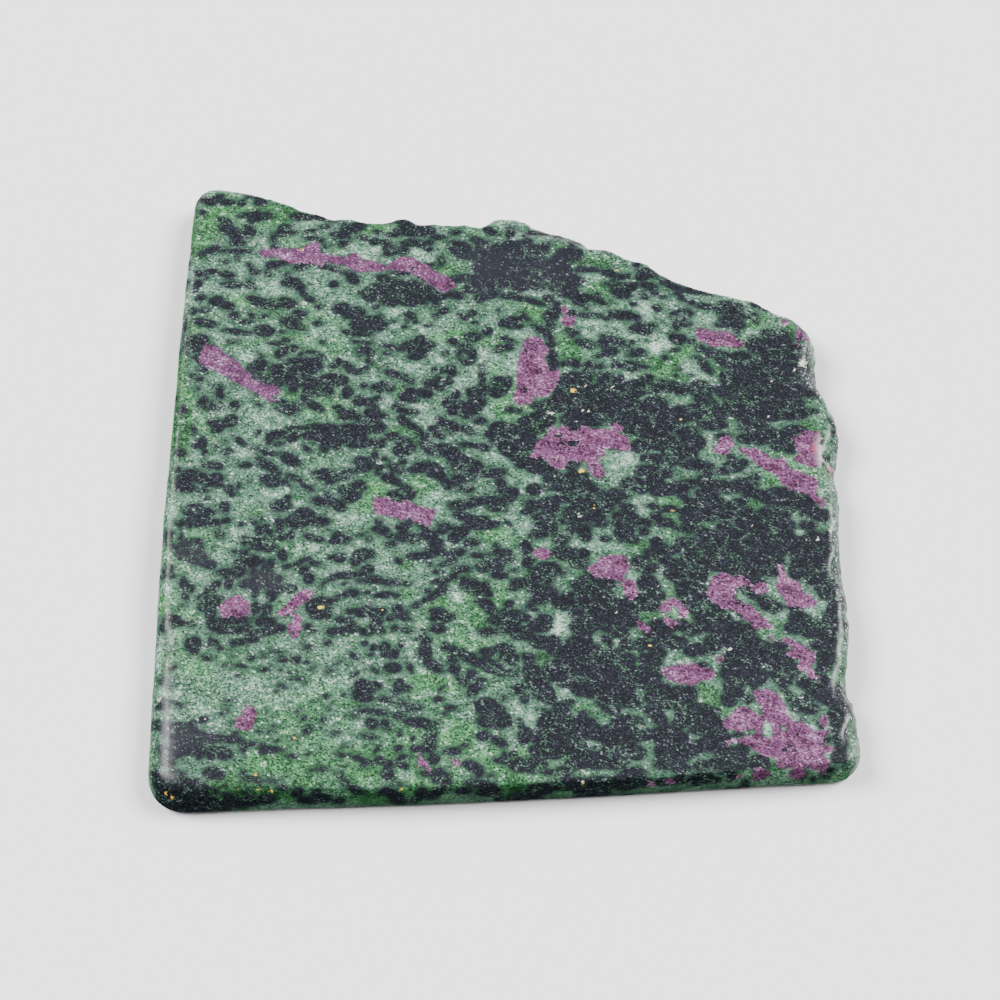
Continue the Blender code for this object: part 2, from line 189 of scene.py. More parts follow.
    (-9.7, 12.4, 1.6, 1.1), (-7.3, 11.6, 1.4, 0.8), (-30.1, 19.2, 2.6, 2.1),
    (-25.9, 18.1, 0.9, 0.8), (-28.7, 16.6, 1.7, 2.1), (-24, 17.7, 0.9, 1.1),
    (-22.3, 18.3, 1.6, 1.2), (-21.1, 17.5, 1.5, 1.1), (-22.8, 16.9, 1, 0.9),
    (-17.3, 16.9, 1.6, 1.2), (-17.9, 15.6, 2.3, 1.5), (-17.1, 14.9, 1.4, 0.9),
    (-14.6, 16.4, 3, 1.5, -15), (-26.5, 14.9, 2.2, 1.8), (-25, 14.5, 1.4, 1.3),
    (-19.5, 13.4, 2.2, 1.6, -30), (-18.2, 12.8, 1.6, 0.8, -30), (-16.5, 12.6, 1.6, 0.8, -25),
    (-23.6, 13.3, 0.7, 1), (-30.1, 13, 1.8, 1.1, -30), (-29, 12.2, 1.8, 0.9, -35),
    (-27.1, 11.7, 2.4, 1.1, -40), (-25.3, 10.3, 1.2, 0.7), (-24.1, 11.7, 3, 3),
    (-23.1, 9.4, 2.6, 2.2), (-24.4, 9.6, 2.4, 2.2), (-18.4, 10.7, 2.2, 1.4, -35),
    (-16.9, 9.6, 1.6, 0.9, -30), (-27.8, 8.7, 4.2, 2.2), (-27.2, 6.8, 4, 2.8),
    (-25.9, 9, 1.6, 1.4), (-26.1, 6, 2.8, 1.2), (-30.4, 8.1, 1.6, 1.5), (-30.4, 5.8, 1.2, 1.4),
    (-20.3, 7.5, 2, 1.3), (-22.6, 6, 1.7, 1.5), (-23.7, 6.4, 2, 0.6), (-18.2, 6.2, 2.5, 1.9),
    (-17.3, 4.9, 2.1, 1.9), (-19.1, 4.5, 1.9, 1.8), (-18.2, 3.8, 1.5, 1),
    (-15.4, 8.3, 2.4, 1.1, -45), (-14.4, 7.3, 2.2, 1.3, -40), (-12, 10.7, 1.7, 1.5),
    (-10.5, 9.8, 2.7, 1.7), (-9.7, 9.4, 2.3, 1.7), (-12.2, 8.3, 1.9, 1.9), (-13.3, 9.1, 1.1, 0.9),
    (-9.3, 8.5, 1.3, 1.5), (-11.4, 7.5, 1.1, 1.1), (-6.7, 8.7, 2.5, 1.5, -30), (-1.1, 9, 3.4, 2.8),
    (-2.8, 7.9, 1.8, 1.4), (-1.1, 6.8, 3, 2.2), (-0.3, 5.3, 1.9, 2.4), (-14.1, 6, 2.6, 1.7, -20),
    (-12.9, 4.5, 3.2, 1.5, -15), (-11.2, 4.5, 4.2, 2.1, -15), (-9.7, 4.1, 2.5, 2),
    (-11.8, 5.5, 2.8, 0.8), (-6.7, 5.8, 2.7, 0.9, -5), (-4.5, 5.5, 2.3, 0.8),
    (-3.7, 4.9, 1.1, 0.7), (-8.6, 2.8, 3.4, 2.2, -20), (-7.1, 2.1, 2.6, 1.7),
    (-5.8, 0.9, 3.2, 1.4), (-8.2, 1.1, 2.4, 1.4), (-23.5, 3.8, 0.9, 1.2), (-25.9, 2.3, 2.1, 1.5),
    (-24.4, 2.1, 1.7, 1.5), (-25.2, 1.1, 2.6, 1.5), (-18.3, 2.2, 1.1, 1.2),
    (-19.7, 0.9, 2.5, 1.3, -25), (-22.5, 1.1, 1, 0.8), (-15.4, 1.1, 2.3, 1.7),
    (-16.5, 0.6, 1.5, 0.9), (-12.7, 1.1, 3.2, 1.4, -35), (-13.5, 1.7, 1.3, 0.8),
    (-27.6, 0.2, 2, 0.8), (-2.2, 0.2, 3.2, 0.8), (-4.5, 10.7, 2.2, 1.2), (1.7, 31.1, 3.2, 1.6),
    (6.4, 30.1, 3.8, 1.1, -35), (7.9, 28.6, 1.8, 0.8, -45), (8.3, 31.1, 1.5, 0.9),
    (0.9, 27.7, 1, 0.5), (0.6, 26.2, 1.6, 1.2), (8.5, 24.3, 1.6, 2.4, 10), (8.7, 22.4, 1.7, 3.2),
    (8.3, 26.9, 1.6, 0.8), (10.7, 22.8, 1.1, 1.1), (12.8, 22.8, 2, 1.4, -30), (15.6, 22.5, 2, 1.5),
    (17.5, 21.9, 1, 0.5), (15.1, 21.3, 1.5, 1.1), (11.8, 29.7, 1.5, 1.1), (13.1, 29.4, 0.9, 0.9),
    (14.7, 27, 3.4, 1.6, -15), (19.1, 27.9, 2.2, 1.3), (21, 27.4, 1.8, 1.3),
    (17.8, 28.6, 0.9, 0.8), (18.1, 26.7, 1.2, 0.8), (17.5, 27.6, 0.7, 0.7), (19.5, 25.3, 1.9, 1.7),
    (17.7, 24.6, 2, 0.8, 20), (18.6, 25.5, 1.3, 1.1), (22.2, 26.1, 2.2, 0.9, -25),
    (24.3, 25.6, 2.1, 0.7, -10), (23.9, 24.7, 1.8, 0.6), (23.3, 27.4, 0.7, 0.5),
    (22.8, 22.2, 2.8, 1.9, -25), (25, 22.1, 1.8, 0.7, -10), (21.1, 22.4, 1.5, 0.8),
    (19.8, 22.2, 0.6, 0.5), (24.1, 30.1, 2.3, 1.6), (25.8, 29.7, 2.1, 1.3), (26.9, 30.9, 1.8, 1.1),
    (24.7, 30.9, 1.5, 1.3), (30.7, 28.4, 1.3, 1.5), (29.2, 24.1, 1, 0.8), (0.4, 18.8, 1.3, 2.3),
    (0.9, 13, 1, 1.1), (2.3, 12.8, 1, 0.8), (10.7, 19.2, 3, 2.4), (12.6, 19.8, 3.4, 2.1),
    (12, 18.3, 4, 3), (14.9, 19.4, 1.9, 2), (18.1, 20.1, 2.4, 1.7), (18.8, 19, 4, 2.4),
    (13.7, 16.8, 6, 3.6), (10.7, 16.6, 3.6, 3.4), (17.5, 16.6, 6, 3.6), (20.5, 18.1, 4, 2.3),
    (23.5, 17.6, 5, 3), (26, 19.2, 3, 2.4), (27.7, 18.4, 4.4, 2.2), (29.9, 17.8, 3.4, 2.2),
    (21.3, 15.8, 5, 3), (26.5, 17.5, 3, 1.5), (27.6, 14.8, 3.4, 1.7), (26.3, 13.4, 5, 2.6),
    (28.3, 11.8, 4.8, 3), (23.6, 13.6, 3.4, 2.2), (21, 13, 6, 4), (17, 13.4, 6, 4),
    (13.5, 13.2, 5, 4), (16, 11.2, 6, 2.6), (12.4, 10.9, 4, 2), (22.8, 11.2, 4.5, 3),
    (25.6, 10.7, 6, 3.4), (29.9, 10.3, 3.4, 3), (7, 13.9, 3.6, 2.2), (9.4, 14.3, 3.6, 3.2),
    (4.3, 11.2, 3.4, 1.4, 22), (5.6, 12, 2, 1, 20), (1.3, 8.5, 4.8, 2.8), (5.3, 9.6, 4, 2.4),
    (3.2, 6.4, 4.6, 3.8), (1, 4.6, 3.4, 2.6), (4.3, 1.9, 4.4, 2), (6.4, 0.7, 4, 1.4),
    (2.4, 3.4, 3, 2), (7.4, 10.8, 2.4, 2), (25.6, 8.4, 4, 3), (27.5, 6.3, 3.6, 2.6),
    (24.2, 5.4, 2.6, 1.8), (29.9, 6, 2.8, 2.6), (29.9, 4.1, 2.6, 1.8), (26.7, 2.9, 3.4, 0.9),
    (25.6, 0.5, 3.6, 1.3), (23, 9.2, 2.6, 2), (28.6, 8.8, 2, 1.6), (30.2, 2.4, 1.6, 1.2),
    (31.6, 31.1, 1.2, 2.2), (33.1, 31.4, 2.4, 1.4), (32.1, 27.9, 2.2, 2.3), (34.1, 27.5, 1.2, 0.9),
    (31.2, 25.6, 1.4, 0.7), (35.7, 26.2, 1.6, 1.5), (37.4, 25.8, 1.2, 0.8), (41.7, 31.4, 3.6, 1.5),
    (42.9, 30.9, 2.1, 1.2), (49.6, 28.8, 4.2, 2.4), (48.1, 29.4, 1.6, 1.1), (45.7, 27.9, 1.6, 1.5),
    (46.1, 26.8, 3, 1.8), (48.5, 25.8, 5.6, 2.6), (50.9, 27.6, 2.6, 1.9),
    (39.5, 24.3, 3.6, 2, -20), (38.3, 24.8, 2.4, 1.2), (40.2, 23, 2.4, 1.4, -30),
    (42.9, 23.9, 3.2, 2.2), (43.8, 22.4, 4.6, 2.6), (46.6, 21.8, 4, 2.6), (41.7, 19.4, 4.2, 2.4),
    (40.6, 20.1, 2.4, 1.4), (45.9, 19.2, 8, 5), (49.5, 22, 5, 5), (50.6, 24, 6, 4.4),
    (52.6, 24.7, 4, 2.8), (52.3, 20.6, 5.6, 5), (49.1, 18.1, 6, 5), (42.9, 17.6, 6, 4),
    (40.6, 17.6, 3, 1.5), (43.8, 15.8, 8, 4.6), (47.6, 15, 7, 4.4), (51.3, 18.1, 6, 5),
    (50.2, 15.6, 5.6, 3.6), (53.2, 17.4, 3.6, 2.6), (52, 14.4, 2.8, 1.4), (47.6, 12.8, 6.6, 3.6),
    (50.2, 12.2, 3, 1.8), (43.4, 12, 3.6, 1.8), (41.7, 13.8, 3.8, 2.8), (52.3, 11.7, 2.6, 1.2),
    (54.3, 12.6, 2.6, 0.7), (55, 18.6, 2.6, 3.6), (54.6, 21.4, 2, 2.6),
    (55.4, 16.6, 2.2, 1.4, -30), (53.8, 26, 2.2, 1.2), (43.3, 11.3, 2.6, 1.6),
    (45.6, 9.6, 2.6, 0.9), (39.1, 7.5, 1.5, 0.6), (45.7, 8.2, 5, 2.4), (43.8, 7.1, 3.6, 1.9),
    (47.6, 7.4, 3.8, 2.8), (49.1, 5.4, 2.6, 1.7), (50.6, 7, 2.8, 3.2), (42.9, 9, 1.8, 1.3),
    (51, 4.7, 1.8, 1.5), (52.3, 9, 2.6, 1), (35.9, 13.4, 3.8, 2.8), (37.4, 11.8, 4.4, 3.6),
    (35.3, 11.8, 3, 2.4), (37.4, 9.9, 4.2, 1.8), (35.5, 14.9, 2, 1.5), (37.2, 14.3, 3, 1.8, -40),
    (35.3, 18.3, 2.4, 1.6), (34.6, 16.3, 2.6, 1.1, -45), (32, 17.2, 2.6, 2.2),
    (36.3, 22.4, 2.8, 1.4, -60), (34.8, 24.1, 1, 0.6), (37.2, 21.3, 1.6, 1.1, -50),
    (39.3, 16.4, 2.2, 1.2, -40), (31.6, 13.2, 1.5, 1.1), (32.1, 11.4, 2.1, 1.9),
    (32.7, 7.9, 3.8, 2.8), (31.4, 6.7, 2, 2.2), (34.2, 6.5, 2.8, 1.9), (32.3, 3.7, 3.6, 3.2),
    (33.1, 2, 3, 1.8), (34.8, 1.3, 2.8, 1.4), (40.8, 1.3, 3.4, 2.2), (39.1, 0.4, 2, 1),
    (42.5, 2.1, 1.7, 1.3), (36.6, 15.9, 1.6, 0.8, -45),
    # the middle, in front
    (-57.3, -1.6, 3, 2.5), (-56.6, -3.2, 3.2, 1.5), (-53.9, -1.1, 3.4, 2.1), (-51.8, -1.1, 3.2, 2),
    (-51.3, -2.6, 2.2, 0.9), (-52.9, -2.1, 2.6, 1.2), (-56.5, -0.4, 2.4, 1.2),
    (-49.2, -3.2, 1.8, 1.4), (-48.6, -4.4, 1.1, 0.9), (-47.5, -2.7, 0.6, 1.4),
    (-53.9, -3.6, 2, 0.7), (-41.9, -1.3, 3, 1.7), (-41.5, -2.3, 2.2, 1.2),
    (-37.7, -1.1, 2.6, 1, -25), (-39.4, -1.9, 1.3, 1), (-32.6, -0.6, 3.6, 1.5, -15),
    (-31.3, -1.9, 1.3, 1), (-35.1, -3.1, 1.8, 0.6, -30), (-38.7, -5, 0.9, 0.9),
    (-39.8, -6.6, 3.4, 1.9), (-33, -5.8, 2.2, 1.5, -20), (-31.5, -5.5, 1.4, 1.3),
    (-35.5, -8.3, 3.3, 2.1, -20), (-37.5, -9.2, 2.8, 1.5, 20), (-36.8, -10.2, 3.6, 1.5),
    (-34.5, -9.4, 1.8, 1.3), (-32.8, -9.8, 3.2, 1.7), (-40, -10.1, 1.3, 1.5),
    (-39.8, -11.5, 0.9, 1.1), (-56.2, -7.9, 1.6, 1, -20), (-55.6, -6.6, 0.9, 0.5),
    (-54.1, -7, 1.1, 1.3), (-52.8, -7.9, 1.8, 1.5), (-51.8, -7.7, 0.9, 1.1),
    (-49.8, -7, 1.5, 2.3, 20), (-53.5, -9.2, 3.6, 1.2, -15), (-55.8, -9.5, 1.4, 0.8),
    (-52.2, -10, 2.8, 1.4), (-54.3, -10.2, 1.1, 1.1), (-57.3, -10.2, 0.9, 1.3),
    (-55.8, -10.7, 1, 0.7), (-50.9, -10.7, 0.8, 0.7), (-49.4, -9.6, 1.4, 1.1),
    (-50.4, -12.3, 2.1, 1.3, -40), (-59.2, -12.4, 1.1, 1.5), (-57.2, -13.2, 0.7, 1.7),
    (-55.6, -13.7, 1.3, 0.9), (-54.1, -13.9, 1.6, 1.4), (-55.6, -15.1, 4.4, 2.2),
    (-54.5, -16.6, 4.6, 2.6, -25), (-52.6, -17.9, 3.2, 1.7, -20), (-56.7, -16.2, 2.4, 2.2),
    (-58.9, -19.2, 1.3, 1.5), (-59.2, -19.9, 1.1, 1.1), (-56, -22.2, 1.1, 2.3, 20),
    (-54.9, -23, 1.2, 1.1), (-44.5, -9.9, 1.3, 0.6, -30), (-43.4, -11.6, 1.4, 1.6),
    (-42.2, -10.7, 0.8, 0.8), (-41.7, -11.9, 1.2, 0.7), (-45.6, -13, 1.4, 0.6, -20),
    (-43.9, -13.7, 2.6, 1.1), (-41.7, -13.2, 1.6, 1.1), (-43.4, -14.7, 2.6, 1.3),
    (-41.5, -14.9, 2.3, 1.5), (-39.2, -13, 1.5, 1), (-37.9, -12.6, 0.9, 1.3),
    (-34.5, -12.8, 1.8, 1, -20), (-33, -13.4, 1.4, 0.8), (-46.5, -16.4, 0.5, 1.3, 10),
    (-45.4, -16.2, 0.7, 1.5), (-44.3, -17.7, 2.4, 2.2, 30), (-46.3, -18.1, 2.1, 2.1),
    (-46.9, -19.7, 2.3, 1.7), (-48.8, -19.8, 2.3, 0.9), (-48.3, -20.7, 1.3, 0.8),
    (-45.4, -22, 1.3, 0.9, 30), (-48.3, -22.2, 0.8, 1.1), (-50.3, -22, 0.7, 0.8),
    (-41.7, -19, 1.6, 1.4, 50), (-39.2, -16.4, 1.3, 2.1, 20), (-42.8, -17.7, 1, 0.7),
    (-41.1, -18.1, 0.9, 1.5), (-35.8, -17.7, 1.9, 0.6, 30), (-35.3, -19.4, 1.4, 1.2, 50),
    (-33.8, -17.9, 1.5, 0.7, -30), (-32.6, -18.1, 0.7, 0.7), (-42.6, -20.7, 3.4, 1.4, 30),
    (-43.4, -22.4, 1, 1.6, -30), (-40.4, -21.2, 2.2, 1.4, 10), (-41.4, -22.6, 1.4, 0.8),
    (-40.7, -24.1, 1.4, 2), (-34.3, -21.1, 1.5, 1.7), (-37.7, -23, 1.7, 1),
    (-39.6, -22.9, 0.9, 0.9), (-51.3, -24.1, 1.5, 2.6, 20), (-51.3, -25.6, 2.8, 2.4),
    (-52, -26.5, 2.3, 1.7), (-51.1, -27.7, 1.5, 2.3), (-57.7, -29.2, 2.7, 2.3),
    (-58.8, -30.3, 1.3, 1.9), (-56.5, -29.7, 1.7, 1.1), (-54.5, -29.7, 1.5, 0.9, -30),
    (-47.1, -29, 4.2, 1.3), (-50.1, -29.9, 2.9, 2.2), (-48.8, -30.7, 2.6, 1.7),
    (-46.6, -30.9, 2.3, 1.5), (-41.5, -29.4, 3.2, 1.8), (-43.4, -26.9, 1.1, 1.7),
    (-41.5, -26.9, 1.5, 1.4), (-42.2, -31.4, 3.8, 1.2), (-39, -30.7, 1.9, 1.3),
    (-32.1, -25.4, 2.1, 1.7), (-33.6, -26.7, 1.9, 1.9), (-32.6, -27.9, 2.5, 1.7),
    (-34.3, -30.3, 1.3, 1.1), (-44.8, -30.6, 1.6, 1), (-30.3, -1, 2, 1.6), (-28.7, -0.7, 1.4, 1.6),
    (-26, -2.4, 2.6, 1.7, -30), (-28.2, -3.6, 2.8, 2.2), (-27.3, -4.6, 2.8, 2.2),
    (-28, -5.3, 1.6, 1.4), (-29.6, -6.6, 2.2, 1.7, -45), (-30.6, -5.9, 1.6, 1.1),
    (-29, -7.2, 1.4, 1), (-21, -1, 2, 1.8), (-19.8, -1.7, 2.2, 1.1, -25),
    (-17.8, -3.1, 2.4, 1, -28), (-20, -4.2, 1.8, 1.3), (-19.1, -5, 1.8, 1.4),
    (-16.9, -4.6, 1.3, 1.1, 30), (-12.3, -0.4, 2.2, 1), (-11.2, -1.3, 1.7, 0.9, -45),
    (-10.4, -2.4, 1.6, 1.2, -45), (-7.5, -0.9, 3.2, 1.6), (-7, -3.3, 2, 1.1), (-8.5, -1.8, 2, 1.2),
    (-2.3, -0.3, 3, 0.8), (-0.9, -2.2, 1.6, 1.2, -30), (-0.4, -3.6, 1.4, 1),
    (-5.7, -5.9, 1.7, 1.4), (-8, -6.5, 3.4, 1.2), (-2.6, -5.6, 4.2, 1.1),
    (-1.5, -7.2, 2.6, 1, -10), (-7.8, -8.7, 2.6, 1.1, -20), (-5.6, -9.6, 2.6, 1.2, -20),
    (-4.1, -9.4, 1.6, 0.9), (-4.3, -10.4, 4.4, 1.5), (-2.6, -10.3, 2, 1.2),
    (-6.5, -10.6, 1.8, 0.9), (-10, -10.8, 2.6, 0.9, -10), (-7.9, -12, 2.2, 1.9),
    (-9, -13, 1.9, 1.6), (-5.9, -14, 2, 1.2), (-11.2, -11.7, 1.1, 0.7), (-12.2, -14, 1.9, 0.9),
    (-13.6, -12.6, 2.3, 1.6), (-12.8, -13.1, 1.4, 1), (-18.2, -11, 1.9, 1.5),
    (-18, -13, 2.2, 1.4, -30), (-16.5, -13.3, 2.4, 1.7), (-20.2, -14.3, 1.3, 0.8),
    (-21.6, -11.6, 1.7, 1.3), (-22.8, -11.1, 1.2, 0.7, 30), (-20.2, -12.8, 1, 0.6),
    (-25.6, -12.5, 0.8, 0.5), (-29.5, -12.6, 1.8, 1.3), (-28.8, -13.6, 2.6, 1.4),
    (-30.2, -13.6, 1.2, 0.9), (-28, -13.2, 1.4, 0.8), (-14.9, -10.6, 1.6, 0.8, -30),
    (-17, -9.9, 1, 0.8), (-25.4, -16.2, 2.4, 1.8, 25), (-24, -16.3, 2, 1.6),
    (-26.2, -17.5, 2.2, 1.8, 45), (-29.1, -17, 2, 1.6), (-30.5, -16.9, 1, 0.7),
    (-24.2, -19.3, 2.4, 1.6, 20), (-25.4, -20.2, 1.6, 0.8), (-28.2, -20.4, 3, 1.1),
    (-26.7, -20.4, 1.1, 0.9), (-30.1, -20.8, 1.4, 1), (-15.9, -16.6, 2.4, 1),
    (-13.4, -16.3, 2, 1.5), (-14.6, -16.7, 1, 0.8), (-11.4, -15.8, 2.2, 1, -15),
    (-8.7, -16, 2.4, 1.2, 10), (-12.9, -15.4, 1.4, 0.6), (-10.4, -18.1, 2.2, 0.6, 15),
    (-9.6, -17.8, 1, 0.6), (-7.7, -19.2, 2.6, 1.1), (-11.9, -19.7, 1.2, 0.6),
    (-9.1, -20.6, 1.2, 1.2), (-7.4, -21.1, 1, 0.7), (-4.8, -16.5, 1.4, 0.6), (-3.4, -17.2, 1, 1.6),
    (-3.8, -18.9, 2.6, 1.6), (-1.4, -18.9, 2, 2.4), (-1.2, -20.4, 2.4, 1.2), (-0.9, -16, 2.6, 1.1),
    (-1.4, -17.5, 1.2, 0.8), (-13.4, -18.3, 0.7, 0.5), (-22.9, -21.3, 3.2, 1.2),
    (-20.9, -21.7, 2, 0.9, -20), (-24.9, -21.6, 1.6, 0.5), (-18.9, -21.7, 1.3, 1.1),
    (-17.4, -21.9, 1.4, 0.8), (-11.2, -21.5, 2.4, 0.9, 10), (-13.7, -23.5, 0.9, 0.7),
    (-11.7, -23.7, 1.7, 1), (-6.2, -22.4, 3.2, 2.4), (-5.2, -23.4, 2.4, 1.4),
    (-3.6, -22.6, 1.6, 1.9), (-3, -24, 1.4, 1.2), (-26.6, -23.8, 1.9, 1.3, -20),
    (-28.3, -24.3, 1.5, 0.7, 10), (-24.1, -23.8, 1, 0.6), (-21.4, -24.2, 2.6, 1, 10),
    (-19.4, -24.4, 1.2, 0.5), (-15.3, -26, 2, 0.9, 25), (-13.6, -25, 3.4, 0.9, 28),
    (-18.8, -26.9, 1.6, 1.5, -30), (-17.6, -28.7, 2, 0.6, -20), (-20, -28.7, 1.2, 0.8),
    (-27, -27.4, 1.4, 0.9), (-25.3, -27.7, 2, 1.3, -20), (-28.6, -29, 1.6, 1.1, -20),
    (-22.6, -27.7, 2.4, 1.6), (-21.5, -27.4, 1.4, 1.2), (-22.5, -29.3, 2.2, 1.4),
    (-23.8, -31, 2.6, 1.7), (-21.6, -31.2, 1.6, 1.6), (-26.6, -30.6, 2.8, 1.4),
    (-29.6, -31.2, 2.6, 1.2), (-30.8, -27.8, 0.9, 1.6), (-30.6, -25.4, 1.2, 1),
    (-11.4, -27.9, 3.4, 2, -20), (-10.2, -28.6, 2, 1.6), (-9.2, -28.4, 1, 0.8),
    (-11.7, -30.7, 2.6, 1.5), (-12.6, -28.8, 1.2, 0.8), (-3.4, -26, 2.4, 1.8, -20),
    (-2.6, -27, 1.8, 1.6), (-4.9, -25.4, 1, 0.6), (-1.4, -29, 3, 1.8), (-0.5, -27.6, 1.2, 1.4),
    (-3.2, -31.3, 2.4, 1.4), (-1, -31.2, 1.6, 1.2), (-19.2, -30.6, 1.2, 0.9),
    (-16.8, -31, 1.6, 0.8), (-14.2, -31.2, 1, 0.7), (0.9, -4, 2.4, 1.8), (0.6, -5.2, 1.6, 0.8),
    (5.1, -3.4, 2.3, 2.1), (9, -1.2, 3.6, 1.6), (12.6, -0.9, 3.6, 2), (14, -2.9, 4.6, 2.2, -20),
    (15.8, -4.2, 3, 1.7), (10.4, -3, 3, 1.6), (8.3, -2.4, 2.4, 1.4), (11, -5, 4.2, 1.8),
    (8, -5.6, 3, 1.2), (13.4, -6.6, 3.4, 2.4), (11.2, -8, 2.4, 2), (5.6, -6.5, 3.4, 1, -15),
    (8.2, -7.2, 2.8, 1.7), (4.2, -7.8, 1.8, 0.8), (6.6, -9.3, 3.4, 1.9, -25),
    (9.4, -9.6, 2.4, 1.2, -30), (7.4, -11, 3.6, 1.8, -20), (5.8, -12.3, 2.9, 1.9),
    (9.7, -12.9, 3.2, 2.4), (10.6, -12, 1.8, 1.2), (12.2, -10.4, 2.6, 1.5, -40),
    (13.6, -11.4, 2.4, 1.8), (14, -12.8, 2, 1.6), (13.2, -9, 2.2, 1.4), (15.6, -9, 3.4, 1.7),
    (17, -7, 4.6, 2), (15, -6, 3, 1.4), (18.6, -5.3, 3.4, 1.3, -20), (16.8, -10.4, 2.2, 0.8),
    (22.6, -2.2, 3.4, 2.1), (23.6, -3.2, 1.6, 0.9), (19.6, -3.9, 1.7, 1), (21, -4.8, 1.4, 0.8),
    (26.6, -2.3, 3.2, 2.6), (28.4, -3.5, 3.4, 1.8), (30.2, -3, 2.2, 2.2), (27, -4.1, 2, 1),
    (27.6, -0.4, 2.4, 0.8), (21.6, -7.4, 3, 2.2), (20, -8.6, 2, 1.3), (22.4, -9, 2.2, 1.4),
    (21, -10.4, 3.4, 1.6), (23.9, -10.2, 2.8, 1.9), (20.8, -12, 3, 2.4), (21.6, -13.4, 2.4, 1),
    (24.4, -11.8, 1.2, 0.8), (19.6, -9.9, 1.4, 0.9), (26.6, -8.9, 1.7, 1.5), (28, -10, 2.4, 1.2),
    (28.6, -7.2, 2.4, 1), (26.3, -6.7, 1.4, 1), (26.4, -13.7, 1.2, 0.9),
    (27.5, -15.1, 2, 0.9, -20), (29.2, -15.5, 1.2, 0.7), (26.4, -16.5, 2.6, 1, -25),
    (28.4, -17.8, 2.6, 1, -20), (29.9, -18.6, 1.6, 0.9, -20), (23.9, -18.1, 3, 2.3, -20),
    (24.9, -19, 2, 1.2), (24.6, -21.8, 2.4, 2.2), (25.6, -22.5, 1.6, 1.4), (17.5, -13.2, 1.2, 0.8),
    (30.4, -20.6, 1.6, 2), (30.6, -23, 1.4, 2.4), (29, -20.6, 1.4, 0.7, -30),
    (3.5, -14.3, 1.6, 1.2), (3.9, -15.4, 1.4, 1.2), (3.8, -18, 1.7, 1.6), (10.9, -16.3, 4, 2.2),
    (12.8, -17.6, 3, 2.4), (13.6, -16.2, 1.8, 1.6), (9.4, -15.6, 2.2, 1.4), (7.2, -18.6, 3.2, 1.4),
    (9, -19.6, 2.4, 1), (5.6, -19.6, 3.4, 1.4), (4.6, -20.8, 2, 1.2), (7, -21, 2.4, 1.6),
    (2.9, -22, 3.4, 1.6, -15), (4.9, -22.8, 2.6, 1.5), (6.8, -23.7, 3.4, 2), (5.9, -25, 2.8, 1.4),
    (7.9, -24.6, 1.8, 1), (9.7, -25.8, 3, 2, -20), (11, -24.4, 1.6, 0.9), (1.2, -22.9, 1.6, 0.7),
    (1.4, -19.4, 1.2, 0.5), (14.8, -23.3, 5.6, 2.6, -20), (14, -25.8, 5.6, 2.6, -10),
    (17, -24.6, 3, 2.4), (17.4, -21.9, 2.2, 1.7), (15.8, -28.4, 6, 3.6, -10), (19, -26.6, 2.6, 2),
    (18.4, -29.8, 3.6, 2.6), (13.6, -30.2, 4, 2.4), (21.2, -27.2, 3, 2.8),
    (23.8, -25.7, 4, 1.6, -20), (21.6, -29.4, 1.6, 1.2), (15, -20.9, 2.4, 0.8),
    (12.2, -27.6, 2, 1.6), (25.4, -24.4, 2.4, 1), (1.6, -28.4, 3.6, 2.6), (1, -30.6, 3, 2),
    (3.4, -28.6, 1.4, 1.2), (5.9, -30, 3.4, 2.2), (6.6, -28.6, 1.8, 0.9), (3.6, -31, 2.4, 1.4),
    (27.6, -30.3, 3.4, 1.8), (25, -31.4, 1.4, 1), (4.6, -26.8, 1.8, 0.5, -25),
    (0.5, -25.9, 1.6, 1.2), (0.5, -17.6, 1.2, 0.7), (26.4, -29.9, 1.8, 1), (30.4, -30, 1.6, 1.6),
    (19.6, -31.4, 1.8, 0.9), (31.4, -3.4, 1.6, 3), (32.9, -2.2, 2.2, 1.3), (35.4, -1.6, 2.2, 2.4),
    (37.6, -2.2, 3, 1.2), (42.4, -2.2, 4, 2), (40, -3.2, 2.6, 1.6), (43.3, -3.8, 2.4, 1.6),
    (44.3, -0.9, 1.6, 1.4), (45.4, -4.4, 2.4, 1.5), (46.6, -5.3, 3, 1.4, -20),
    (35.9, -4.2, 3.4, 1.8), (34.2, -6.8, 4.4, 2.6), (37, -6, 3.4, 2.2), (36.4, -8.2, 4.4, 2.4),
    (33.4, -8.6, 3.6, 1.8), (32.4, -5.4, 0.9, 0.7), (41.2, -6.8, 3.4, 2.4), (42.4, -7.8, 2.2, 1.4),
    (40.6, -8.8, 3, 1.4), (43.6, -9, 3.6, 1.9), (47.4, -8.4, 4.6, 2.4), (45.6, -9.8, 3.4, 1.8),
    (48.2, -10.6, 4, 2.4), (46.4, -12.4, 4.6, 2.6), (49.6, -7.2, 2.4, 1.5),
    (50.6, -4.4, 3.6, 2, -25), (52.8, -5.6, 3.4, 2.4, -20), (51, -6.4, 3, 1.2),
    (54.2, -7.8, 3.4, 2, -25), (56, -8.6, 2.4, 1.6), (48.2, -4, 2.4, 1.6), (53.4, -8.4, 1.4, 0.9),
    (32.6, -11.2, 1.6, 1.2), (34.6, -11.8, 1.8, 1, -20), (36.2, -12.4, 1.8, 0.8, -15),
    (31.6, -13.9, 1.8, 0.9), (34.1, -14.4, 1.5, 1.1), (36.4, -13.6, 2.2, 1.1),
    (39, -13, 3.6, 0.8, -15), (38.8, -14.2, 2.4, 0.7), (41.2, -12.2, 2.2, 1.6, -20),
    (42.8, -11, 2.4, 1.2, -20), (39.2, -10.6, 1.6, 0.5), (43.6, -13, 3, 1.8),
    (41.6, -14.4, 3, 1.2), (44.4, -14.2, 2.2, 1.4), (49.4, -13.4, 3.4, 1.6),
    (47.4, -15.2, 3.6, 1.6), (33.2, -17.5, 3.8, 2.4), (34.6, -18.6, 2.6, 1.5), (32, -18.4, 2, 1.6),
